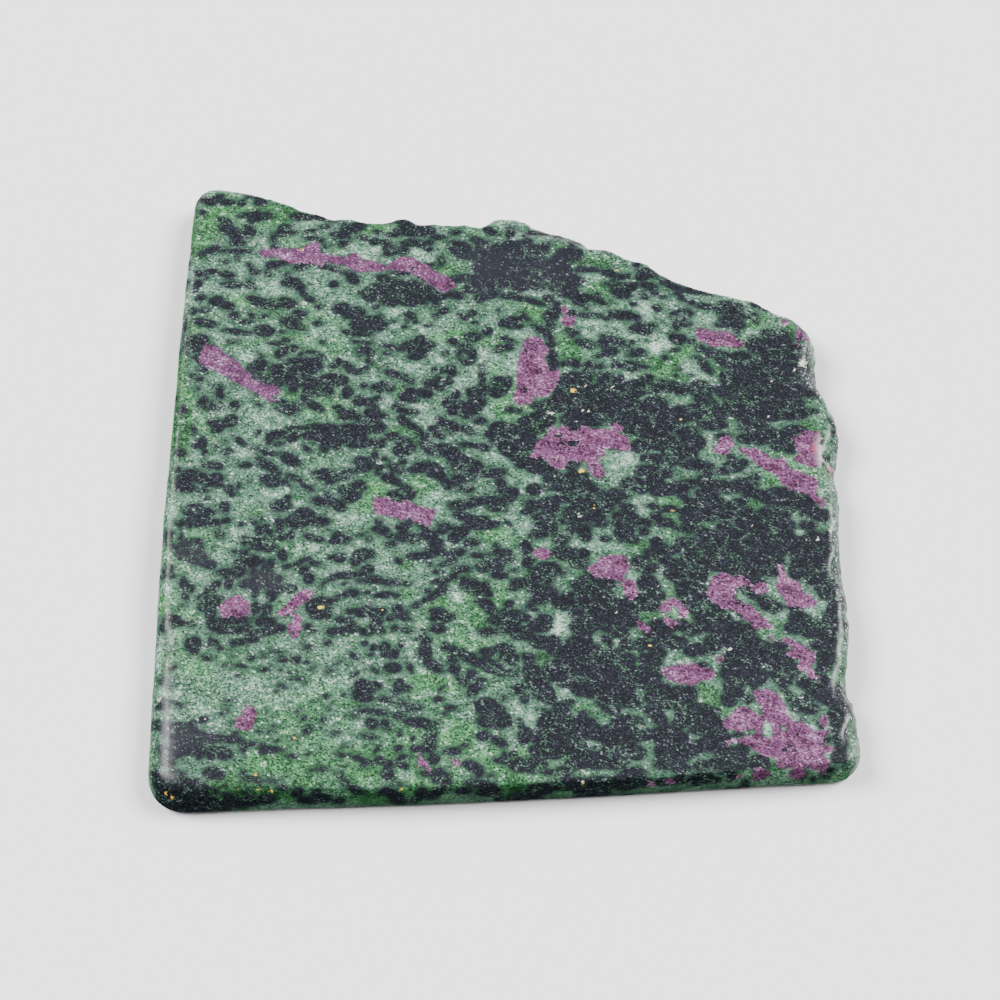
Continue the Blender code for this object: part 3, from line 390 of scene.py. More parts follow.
    (38.2, -16.4, 4.6, 2.6, -20), (37, -18.2, 2.4, 1.6), (40.6, -18.6, 4.4, 2.4),
    (42.8, -16.6, 3.6, 2.2), (43.4, -19.6, 2.2, 1.2), (45, -18.2, 3, 2.6), (46.4, -19.4, 1.8, 1.4),
    (46.8, -16.6, 3.2, 1.4, -30), (51.6, -15.2, 4.6, 2), (52.8, -17.6, 4.4, 3.2),
    (52, -19.6, 4, 2.4), (55, -19, 2.6, 3), (53.2, -13.6, 2.6, 1.2), (55.4, -13.4, 2.4, 1.8),
    (56.2, -16, 2, 2.4), (56.9, -13, 1.2, 1.6), (54.6, -21.4, 3, 1.6), (56.6, -22.6, 2, 3),
    (55.6, -24.2, 1.8, 1.4), (53.4, -10.6, 1.6, 0.8), (32.6, -20.6, 3.6, 1.6),
    (31.6, -21.6, 1.8, 1.2), (32.6, -23.6, 3.6, 2.4), (33.6, -25.4, 2.6, 2.2),
    (31.6, -26, 1.4, 1.6), (33.8, -28, 2.4, 2.4), (36.4, -27.6, 2.6, 2.2, -30),
    (37.6, -28.8, 2.4, 1.6, -30), (35.2, -30.2, 3, 1.6, -20), (37, -31.2, 3.4, 1.4, -20),
    (33.2, -30.6, 1.8, 1.2), (39.6, -30.6, 2.8, 1.6), (32, -31, 1.6, 1.4),
    (43.6, -24.2, 3.2, 1, -25), (42.2, -22.4, 2, 0.8, -20), (43.9, -22, 1.4, 0.9),
    (45.9, -26.2, 2.6, 1.5, -15), (50.9, -28.8, 3, 1.8, -20), (52.4, -29.4, 3, 1.1, -20),
    (54, -29.6, 2.4, 0.6), (56.2, -28.2, 1.6, 2.6, -20), (56.4, -30.6, 1.6, 2, -30),
    (49.8, -30.6, 2.2, 1.6), (52.8, -31.4, 2.4, 1.4), (57, -25.4, 1.2, 2.4), (41.4, -31, 2.4, 1.6),
    (54.8, -31.2, 1.4, 1),
    # the front quarter
    (-53.8, -33.7, 2.6, 2.9), (-53.5, -35.2, 1.2, 0.8), (-51.3, -36.1, 2.2, 1.1, -15),
    (-43.7, -32.6, 2.4, 1.3), (-46.2, -33.3, 2.4, 1.3), (-50.1, -33.3, 1.2, 1.1),
    (-49.2, -34.3, 1.2, 0.7, -20), (-50.9, -33.1, 0.5, 1.2), (-47.3, -34.8, 0.6, 0.5),
    (-46.7, -35.9, 0.7, 0.5), (-48.1, -37.5, 1.2, 0.6, 20), (-45.9, -37.5, 2, 0.9),
    (-44.9, -37.8, 1.6, 0.7, -15), (-47.3, -38.4, 0.5, 0.4), (-43.7, -36.3, 1.3, 1.1),
    (-41.6, -36, 0.8, 0.8), (-39, -35.2, 2.2, 0.6, -5), (-38.1, -36.5, 2.2, 1.2),
    (-36, -36.5, 1.8, 1.8), (-34.2, -34.2, 1.5, 0.8), (-34.1, -37.1, 1.4, 0.9),
    (-33.4, -38.3, 1.2, 0.7), (-32.6, -37.8, 0.9, 0.7), (-41.3, -38.4, 2.2, 1.1),
    (-42.6, -38.2, 0.8, 0.7), (-38.5, -38.4, 1.2, 0.7), (-37, -38.9, 1.2, 0.5),
    (-36.9, -40.3, 0.9, 0.7), (-35.4, -40.1, 1.6, 1), (-38.5, -41.4, 1.8, 1.5),
    (-37.5, -41.8, 1.4, 0.9), (-39.2, -42.4, 1, 0.9), (-58.6, -40.5, 2, 1.1),
    (-57.7, -41.2, 0.8, 1.4, 30), (-58.2, -44.8, 1.8, 1.9), (-55.8, -44.8, 2, 0.7, -25),
    (-47.1, -44.1, 1.6, 0.5), (-47.3, -45.8, 0.6, 1.2, 10), (-48.2, -46.7, 0.8, 0.6),
    (-51.2, -47.6, 1.2, 1), (-53, -48.2, 0.7, 0.6), (-46.3, -48.1, 0.9, 0.6),
    (-58.2, -48.9, 3.4, 1.5), (-55.6, -49.3, 5, 2), (-54.2, -50.5, 6, 2.1, -5),
    (-51.4, -50.9, 4, 1.7, -5), (-48.8, -51.1, 4, 0.9), (-46.2, -51.2, 2.2, 1.1),
    (-53.9, -51.9, 3.6, 0.8), (-56.2, -53.3, 4, 2.1), (-52.8, -53.3, 1.6, 0.9),
    (-51.3, -53.6, 0.7, 1.4, -20), (-49.6, -53.6, 1.1, 1.6), (-47.5, -53.8, 2.4, 1.7, -15),
    (-44.3, -52.3, 1, 1.9, 15), (-42.7, -52, 1.5, 0.6), (-39.6, -53, 3.4, 1.1, -5),
    (-36.1, -54.3, 1.6, 0.7), (-35.3, -46, 1.3, 0.6, 35), (-34.3, -47.4, 1.3, 1.3),
    (-33.4, -49.3, 1.7, 1.6), (-39.4, -48.9, 0.8, 0.7), (-31.3, -47.8, 0.8, 0.8),
    (-40, -49.9, 0.8, 0.4), (-56.9, -55.5, 2, 1.3), (-58.8, -58, 1.4, 0.9), (-55.6, -58.2, 3.4, 2),
    (-57.3, -59.3, 2.4, 1.5), (-53.9, -59.5, 2.6, 2.3), (-51.8, -59.5, 2.4, 1.5, -20),
    (-55, -61.4, 3, 2), (-53.5, -62.5, 2.6, 0.9), (-56.9, -61.2, 1.6, 1.3),
    (-50.1, -60.6, 2.4, 1.1), (-51.1, -62.5, 2.4, 1.3), (-48.8, -62.9, 2.4, 1.1),
    (-49.2, -57.4, 2.4, 1.7), (-47.9, -57.9, 1.4, 1.1), (-44, -57.4, 0.8, 1.2),
    (-43, -58.3, 2.4, 0.9, -15), (-41.5, -58.7, 1.4, 0.7), (-45.6, -62.3, 2.4, 1.1, -35),
    (-42.6, -62.7, 2.4, 1.1), (-40.2, -62.3, 2.6, 1.3), (-37.5, -59.9, 1.6, 1, -20),
    (-34.7, -60.8, 1.6, 1.7), (-39, -58.7, 1.8, 0.6), (-33, -62.3, 1.2, 0.6),
    (-31.5, -61.2, 1.2, 0.8), (-31.3, -56.5, 0.9, 1.1), (-30.6, -33.5, 1.2, 0.8),
    (-24.3, -33.5, 0.8, 0.8), (-22.9, -34.3, 0.9, 1.1), (-26.2, -35.8, 1.8, 0.8, -35),
    (-23.3, -35.7, 0.8, 0.5), (-20.8, -34.1, 1.9, 1.9), (-19.3, -35.4, 1.6, 1.7),
    (-18, -33.7, 0.8, 1.2), (-20.5, -35.8, 1.6, 0.6), (-19.3, -38.1, 2.6, 1.8),
    (-20.2, -38, 1.4, 1), (-16.4, -38, 0.8, 1.6, 25), (-30.3, -38.6, 1.8, 1.1),
    (-25.3, -38.8, 0.8, 0.6), (-22.5, -38.6, 1.8, 1, -30), (-26.2, -39.4, 0.7, 0.5),
    (-29.1, -37.3, 0.8, 0.4), (-24.6, -41.2, 2.4, 2.3, -40), (-22.3, -41.4, 2.3, 1.6, -30),
    (-25.2, -42.9, 2.1, 2.3), (-24, -43.7, 3.2, 1.4), (-23.5, -42.2, 2.2, 1.8),
    (-18.2, -41.2, 1.7, 2.1), (-17.1, -41.8, 1.7, 1.2), (-18.7, -42.5, 1, 0.7),
    (-30.6, -43.3, 1.4, 1.3), (-27.7, -43.1, 1, 0.8), (-20.5, -43.9, 2.6, 0.8, -8),
    (-18.4, -44.3, 2.6, 0.8, -8), (-16.1, -45.4, 2.9, 1.3), (-23.6, -46, 3, 0.8),
    (-21.2, -46.3, 2, 0.9), (-25.9, -46.9, 1.4, 0.7), (-18.2, -46.9, 1.7, 0.9),
    (-22.7, -48.3, 2.4, 1.7, -30), (-20.5, -48.4, 1.3, 1.5), (-14.4, -48.2, 5, 1.5, -8),
    (-13.1, -48.9, 2.6, 1.1, -15), (-30.8, -47.6, 0.8, 1.2), (-28.9, -50.2, 1.6, 0.8),
    (-23.1, -50.7, 2.4, 1, -10), (-17.9, -50.3, 0.8, 0.9), (-15.7, -51, 0.6, 0.7),
    (-12.8, -51, 2.3, 1.9), (-12.9, -52.5, 1.9, 1.3), (-13.3, -53, 2.2, 1.1),
    (-18.1, -52.9, 1.1, 0.9), (-15.2, -52.9, 1.3, 0.9), (-27.4, -52.4, 0.6, 0.6),
    (-21.4, -52.7, 0.6, 0.5), (-27.8, -54, 1.8, 0.8, -15), (-25.2, -54.6, 2, 0.7, -20),
    (-23.5, -55.3, 3, 1, -20), (-21.2, -55, 2.2, 1.2), (-19.7, -55.7, 1.6, 1.3),
    (-19.9, -57.4, 2.1, 1.7), (-19.3, -58.2, 1.4, 1), (-17.1, -54.4, 2, 0.8),
    (-17.8, -55.5, 1.3, 1.7), (-16.7, -56.1, 0.8, 1.1), (-30.5, -56.7, 1.6, 1.1),
    (-27.8, -57.6, 1.3, 1.7), (-26.9, -58.9, 2, 1.1, -30), (-25.7, -59.9, 3, 0.9, -25),
    (-24.8, -60.6, 0.9, 0.5), (-30.1, -61.7, 1.6, 0.9), (-17.6, -59.3, 0.9, 0.5),
    (-19.3, -60.8, 2.4, 1.2, -40), (-18.2, -61.7, 2.4, 1.1, -25), (-12.4, -61.4, 3, 0.8),
    (-12.2, -54.8, 1.9, 1.9), (-11.6, -57, 1.6, 0.8, 20), (-10.9, -58.2, 2.9, 2.2),
    (-13.5, -57.4, 1.7, 0.9), (-10.3, -60.4, 1.4, 0.8), (-9.7, -59.3, 1.2, 1.3),
    (-8.9, -53.3, 2, 1), (-5.6, -56.1, 3, 1.6, -20), (-4.5, -57.2, 1.3, 1.7),
    (-4.3, -59.1, 3.4, 0.9, -5), (-6.9, -60.6, 1.4, 0.8), (-2.4, -60.8, 2.8, 1.5),
    (-13.7, -33.1, 1.5, 1.7), (-13.9, -35.2, 2.3, 2.5), (-12.7, -37.5, 2.6, 1.5, -30),
    (-11.6, -38.2, 1.5, 1.1), (-10.4, -34.1, 1.3, 1.5), (-9, -34.8, 1.3, 1.9),
    (-7.7, -35.2, 1.6, 1.3), (-9.2, -36.9, 1.8, 1.3), (-8.8, -38.2, 1.8, 1.6, -40),
    (-6.3, -36.1, 2.5, 1.3), (-3.9, -37.1, 4, 1.7), (-2.6, -38, 4, 1.7, -15),
    (-0.7, -39, 1.8, 1.1), (-3.5, -35, 1.8, 1.3), (-2.4, -34.6, 1.4, 0.7), (-0.7, -34.3, 1.8, 1.5),
    (-0.3, -36.1, 1.2, 1.1), (-5.8, -39.3, 1.6, 1.3), (-8.2, -39.9, 0.8, 1.3, 30),
    (-7.3, -40.7, 2.4, 1.1, -40), (-5.2, -41.8, 2, 1.2), (-5.8, -42.7, 1.5, 1.3),
    (-11.5, -43.9, 1.1, 0.9), (-9.5, -45.4, 1.3, 0.7), (-3.3, -45.2, 3.7, 3, -20),
    (-1.3, -46.1, 2.3, 2.3), (-2.4, -46.9, 3.3, 1.5), (-3.7, -48.2, 2.2, 1.3, -30),
    (-1.1, -48.2, 2.5, 1.9), (-0.3, -43.7, 0.9, 0.8), (-3.7, -50.6, 1.9, 1.4),
    (-1.1, -51.8, 2.3, 1.3, -25), (-0.3, -54.6, 0.9, 1.5), (0.3, -34.8, 1.9, 2.1),
    (0.9, -36.3, 2.3, 1.9), (1.5, -39, 1.5, 1.7), (3.8, -36.1, 1.8, 1.1, -20),
    (3.2, -32.3, 2.8, 0.8), (6.2, -33.3, 3.4, 1.8), (8.1, -32.9, 1.6, 1.5), (9, -34.8, 2.5, 1.3),
    (10.7, -34.6, 2.5, 2.1), (12.8, -33.1, 3.5, 2.1), (13.2, -34.3, 2.9, 1.9),
    (12.6, -36.3, 4.2, 2.9), (10.7, -36.5, 2.9, 2.3), (13.7, -37.8, 4.2, 2.5),
    (9.2, -37.5, 4, 1.6), (8.5, -39, 4.8, 2.5), (10, -40.5, 2.3, 1.9), (11.9, -38.4, 2.3, 1.6),
    (4.3, -38.2, 2.3, 1.7), (4.9, -39.7, 3.1, 2.1), (5.1, -41, 3.3, 2.1),
    (6.4, -42.7, 3.3, 2.8, -30), (7.3, -43.7, 1.9, 1.5), (2.3, -42, 1.5, 1.7),
    (3.2, -43.7, 1.1, 1.3), (15.8, -36.1, 2.6, 2.2), (17.1, -37.3, 2.5, 2.3),
    (18.6, -35.6, 2.2, 1.8), (15.8, -38.4, 2.3, 1.7), (19.2, -37.8, 3, 2.3),
    (20.5, -36.5, 2.5, 1.9), (20.7, -38.6, 2.5, 2.5), (20.9, -33.7, 1.9, 1.8),
    (23.3, -33.7, 1.9, 1.7), (25, -33.9, 1.8, 0.9), (26.2, -35.4, 2.1, 1.5),
    (27.5, -32.4, 2.3, 1.1), (29.2, -33.3, 2.8, 1.7), (23.9, -36.3, 1.5, 1.1),
    (25.6, -37.1, 1.3, 0.9), (23.7, -38.6, 1.9, 1.3), (25.4, -39.3, 1.9, 1.3),
    (22.3, -39.4, 0.7, 0.8), (22, -40.2, 0.7, 0.6), (16.2, -40.5, 3.3, 2.3),
    (18.1, -40.5, 3.3, 1.9), (13.7, -41, 3.5, 2.1), (12.8, -42, 2.5, 1.9), (14.5, -42.2, 2.3, 2.3),
    (17.1, -42.2, 3.5, 2.5), (16.9, -43.9, 2.9, 2.3), (17.9, -45.2, 2.7, 2.1, -20),
    (20.1, -42, 2.9, 2.5), (20.7, -43.9, 2.3, 1.8), (21.3, -44.8, 1.6, 0.6), (24.5, -41, 2.8, 1.6),
    (26.5, -42.5, 3.3, 2.7), (24.7, -43.5, 1.5, 1.5), (28.4, -43.1, 2.9, 2.1),
    (29.4, -42.2, 1.6, 0.7), (27.7, -44.6, 2.7, 1.7), (29.9, -43.9, 1.5, 1.5),
    (9.2, -45.9, 2.7, 2.3, 50), (8.1, -47.6, 4.1, 2.9), (9.6, -46.7, 1.9, 2.3),
    (6.8, -48.4, 2.5, 2.3), (10.2, -48.6, 1.1, 1.5), (8.7, -50.1, 4.8, 2.5),
    (11.9, -48.4, 1.7, 1.5), (13.9, -48.6, 2.3, 2.1), (12.8, -49.7, 3.9, 1.9),
    (11.1, -51.2, 3.3, 2.3), (6.4, -51.2, 3.3, 2.3), (3.4, -50.1, 2.1, 1.5),
    (2.5, -48.6, 0.6, 1.4, 20), (3, -51.2, 1.5, 1.5), (0.2, -47.8, 1.5, 1.9),
    (7.9, -53.3, 4.2, 2.5), (5.1, -53.1, 1.9, 1.5), (11.9, -53.3, 3.5, 2.9),
    (12.6, -54.8, 3.5, 2.5), (11.5, -55.7, 2.5, 1.5), (15.8, -50.3, 3.5, 1.9),
    (18.1, -49.7, 2.7, 1.5), (17.7, -51.8, 2.3, 1.9), (16.2, -53.5, 2.9, 1.7),
    (18.1, -55, 4.4, 2.7), (15.4, -55.7, 2.7, 1.3), (20.1, -53.3, 2.3, 1.9), (19.2, -48, 1.5, 1.1),
    (21.3, -48.6, 3.9, 2.7, -15), (20.5, -47.6, 1.7, 1), (23, -50.3, 3.1, 1.7),
    (20.9, -50.6, 2.5, 1.5), (25.2, -46.3, 2.5, 1.7, -25), (26, -47.4, 2.1, 1.2, -20),
    (22.2, -53.8, 2.1, 1.7), (21.3, -52.9, 1.5, 1.1), (27.5, -49.9, 3.9, 1.7),
    (26.2, -51, 1.9, 1.9), (28.8, -51.2, 3.3, 2.3), (26.7, -53.5, 2.9, 2.9),
    (28.4, -54.6, 3.5, 2.3), (26.2, -55.9, 1.9, 1.3), (30.3, -53.1, 1.7, 2.9),
    (29.9, -46.7, 2.1, 2.3), (29.7, -48.2, 1.9, 1.3), (29.4, -56.5, 2.3, 1.5),
    (1.3, -54, 1.1, 1.1), (1.9, -55.7, 2.9, 2.1), (4.9, -55.7, 3.3, 2.1), (2.1, -56.7, 1.7, 0.9),
    (4.5, -56.7, 2.3, 0.9), (7.3, -57.2, 1.9, 0.7), (9.6, -57, 2.3, 1.3), (21.3, -57.4, 3.2, 1.7),
    (5.8, -60.4, 3, 1.8), (9.2, -59.3, 3, 1.4), (11.5, -58.9, 2.2, 1.1), (16.2, -58.9, 5, 1.3),
    (18.6, -58.9, 1.5, 1.3), (20.7, -59.5, 1.9, 1.1), (23, -59.1, 1.7, 1.1),
    (14.9, -60.4, 4.4, 0.8), (29.4, -58.7, 2.3, 1.2), (26.5, -59.1, 1.2, 0.7),
    (37.2, -32.9, 4.2, 1.5), (34.2, -34.6, 3.5, 1.7), (32.1, -34.8, 2.1, 1.7),
    (41.2, -33.3, 4.2, 2.3), (42.9, -33.7, 2.5, 1.9), (44.2, -34.3, 2.9, 1.7),
    (40.2, -35.8, 4.2, 2.7), (39.5, -37.5, 4.2, 2.9), (41, -38.8, 4.2, 2.5),
    (42.5, -40.1, 3.3, 2.1), (38, -39, 2.3, 2.3), (42.1, -36.7, 3.3, 2.5), (44.7, -35.8, 2.9, 1.7),
    (45.9, -36.5, 2.9, 2.3), (47.9, -36.3, 2.5, 2.3), (47.6, -38, 3.3, 1.7),
    (48.7, -38.8, 2.3, 1.3), (46.4, -39.5, 1.7, 1.9), (47.4, -40.5, 2.3, 1.3),
    (38.9, -41.8, 3.1, 2.7), (38, -43.9, 2.5, 2.3), (39.5, -42.9, 1.9, 1.9),
    (41.2, -43.9, 1.3, 1.5), (44.2, -39.3, 0.9, 1.2), (47.2, -33.9, 1.4, 0.9),
    (55.5, -33.3, 2.3, 2.9), (55.5, -35.2, 2.3, 2.3), (53.6, -33.9, 1.5, 1.1),
    (54.3, -36.3, 1.3, 2.9, -10), (55.5, -37.3, 1.9, 1.9), (53.6, -39, 1.3, 1.3),
    (51.5, -41, 2.9, 1.7), (54.5, -41.2, 3.9, 2.5, -35), (56.2, -42.7, 2.9, 2.3, -35),
    (53.6, -43.1, 3.3, 1.7, -30), (54.5, -44.2, 2.9, 1.3, -30), (50.2, -44.6, 2.5, 2.3),
    (51.5, -43.5, 2.1, 1.7), (51.7, -45.7, 2.7, 1.7), (49.1, -45.7, 1.5, 1.3),
    (48.5, -45, 0.7, 0.7), (48.5, -43.5, 1.5, 1.3), (56.6, -44.8, 1.9, 2.3),
    (55.7, -46.5, 2.1, 2.3), (57.7, -45.7, 1.5, 2.3), (56.2, -48.4, 2.3, 2.5),
    (56.4, -50.8, 2.3, 2.9), (56.4, -52.5, 1.9, 1.9), (57.2, -51.2, 1.1, 1.9),
    (55.5, -54.6, 1.3, 1.7), (56.8, -54.6, 0.8, 1.4), (54.7, -57, 1, 0.8), (31.4, -43.1, 1.7, 2.5),
    (32.7, -45.9, 3.9, 2.1), (33.6, -47.6, 4.2, 2.9), (35.3, -46.5, 1.9, 1.7),
    (35.3, -49.1, 3.9, 2.9), (32.7, -49.1, 2.9, 2.3), (35.7, -51.2, 4.4, 2.3),
    (33.8, -52.3, 2.9, 1.9), (32.3, -52.5, 2.3, 1.9), (37.2, -53.5, 3.3, 2.1),
    (39.5, -53.3, 2.5, 1.7), (40.2, -52, 1.4, 0.9), (39.1, -55.5, 4.2, 2.3),
    (41.7, -55.3, 3.3, 1.9), (42.9, -54.6, 2.1, 1.5), (35.7, -55.7, 3.3, 1.9),
    (33.1, -56.1, 2.5, 1.5), (37.4, -57.2, 2, 1), (38.3, -58, 1.3, 1.7), (33.1, -58, 2.9, 1.4),
    (34.8, -58.9, 2.5, 1.1), (43.6, -55.9, 1.6, 0.9),
]

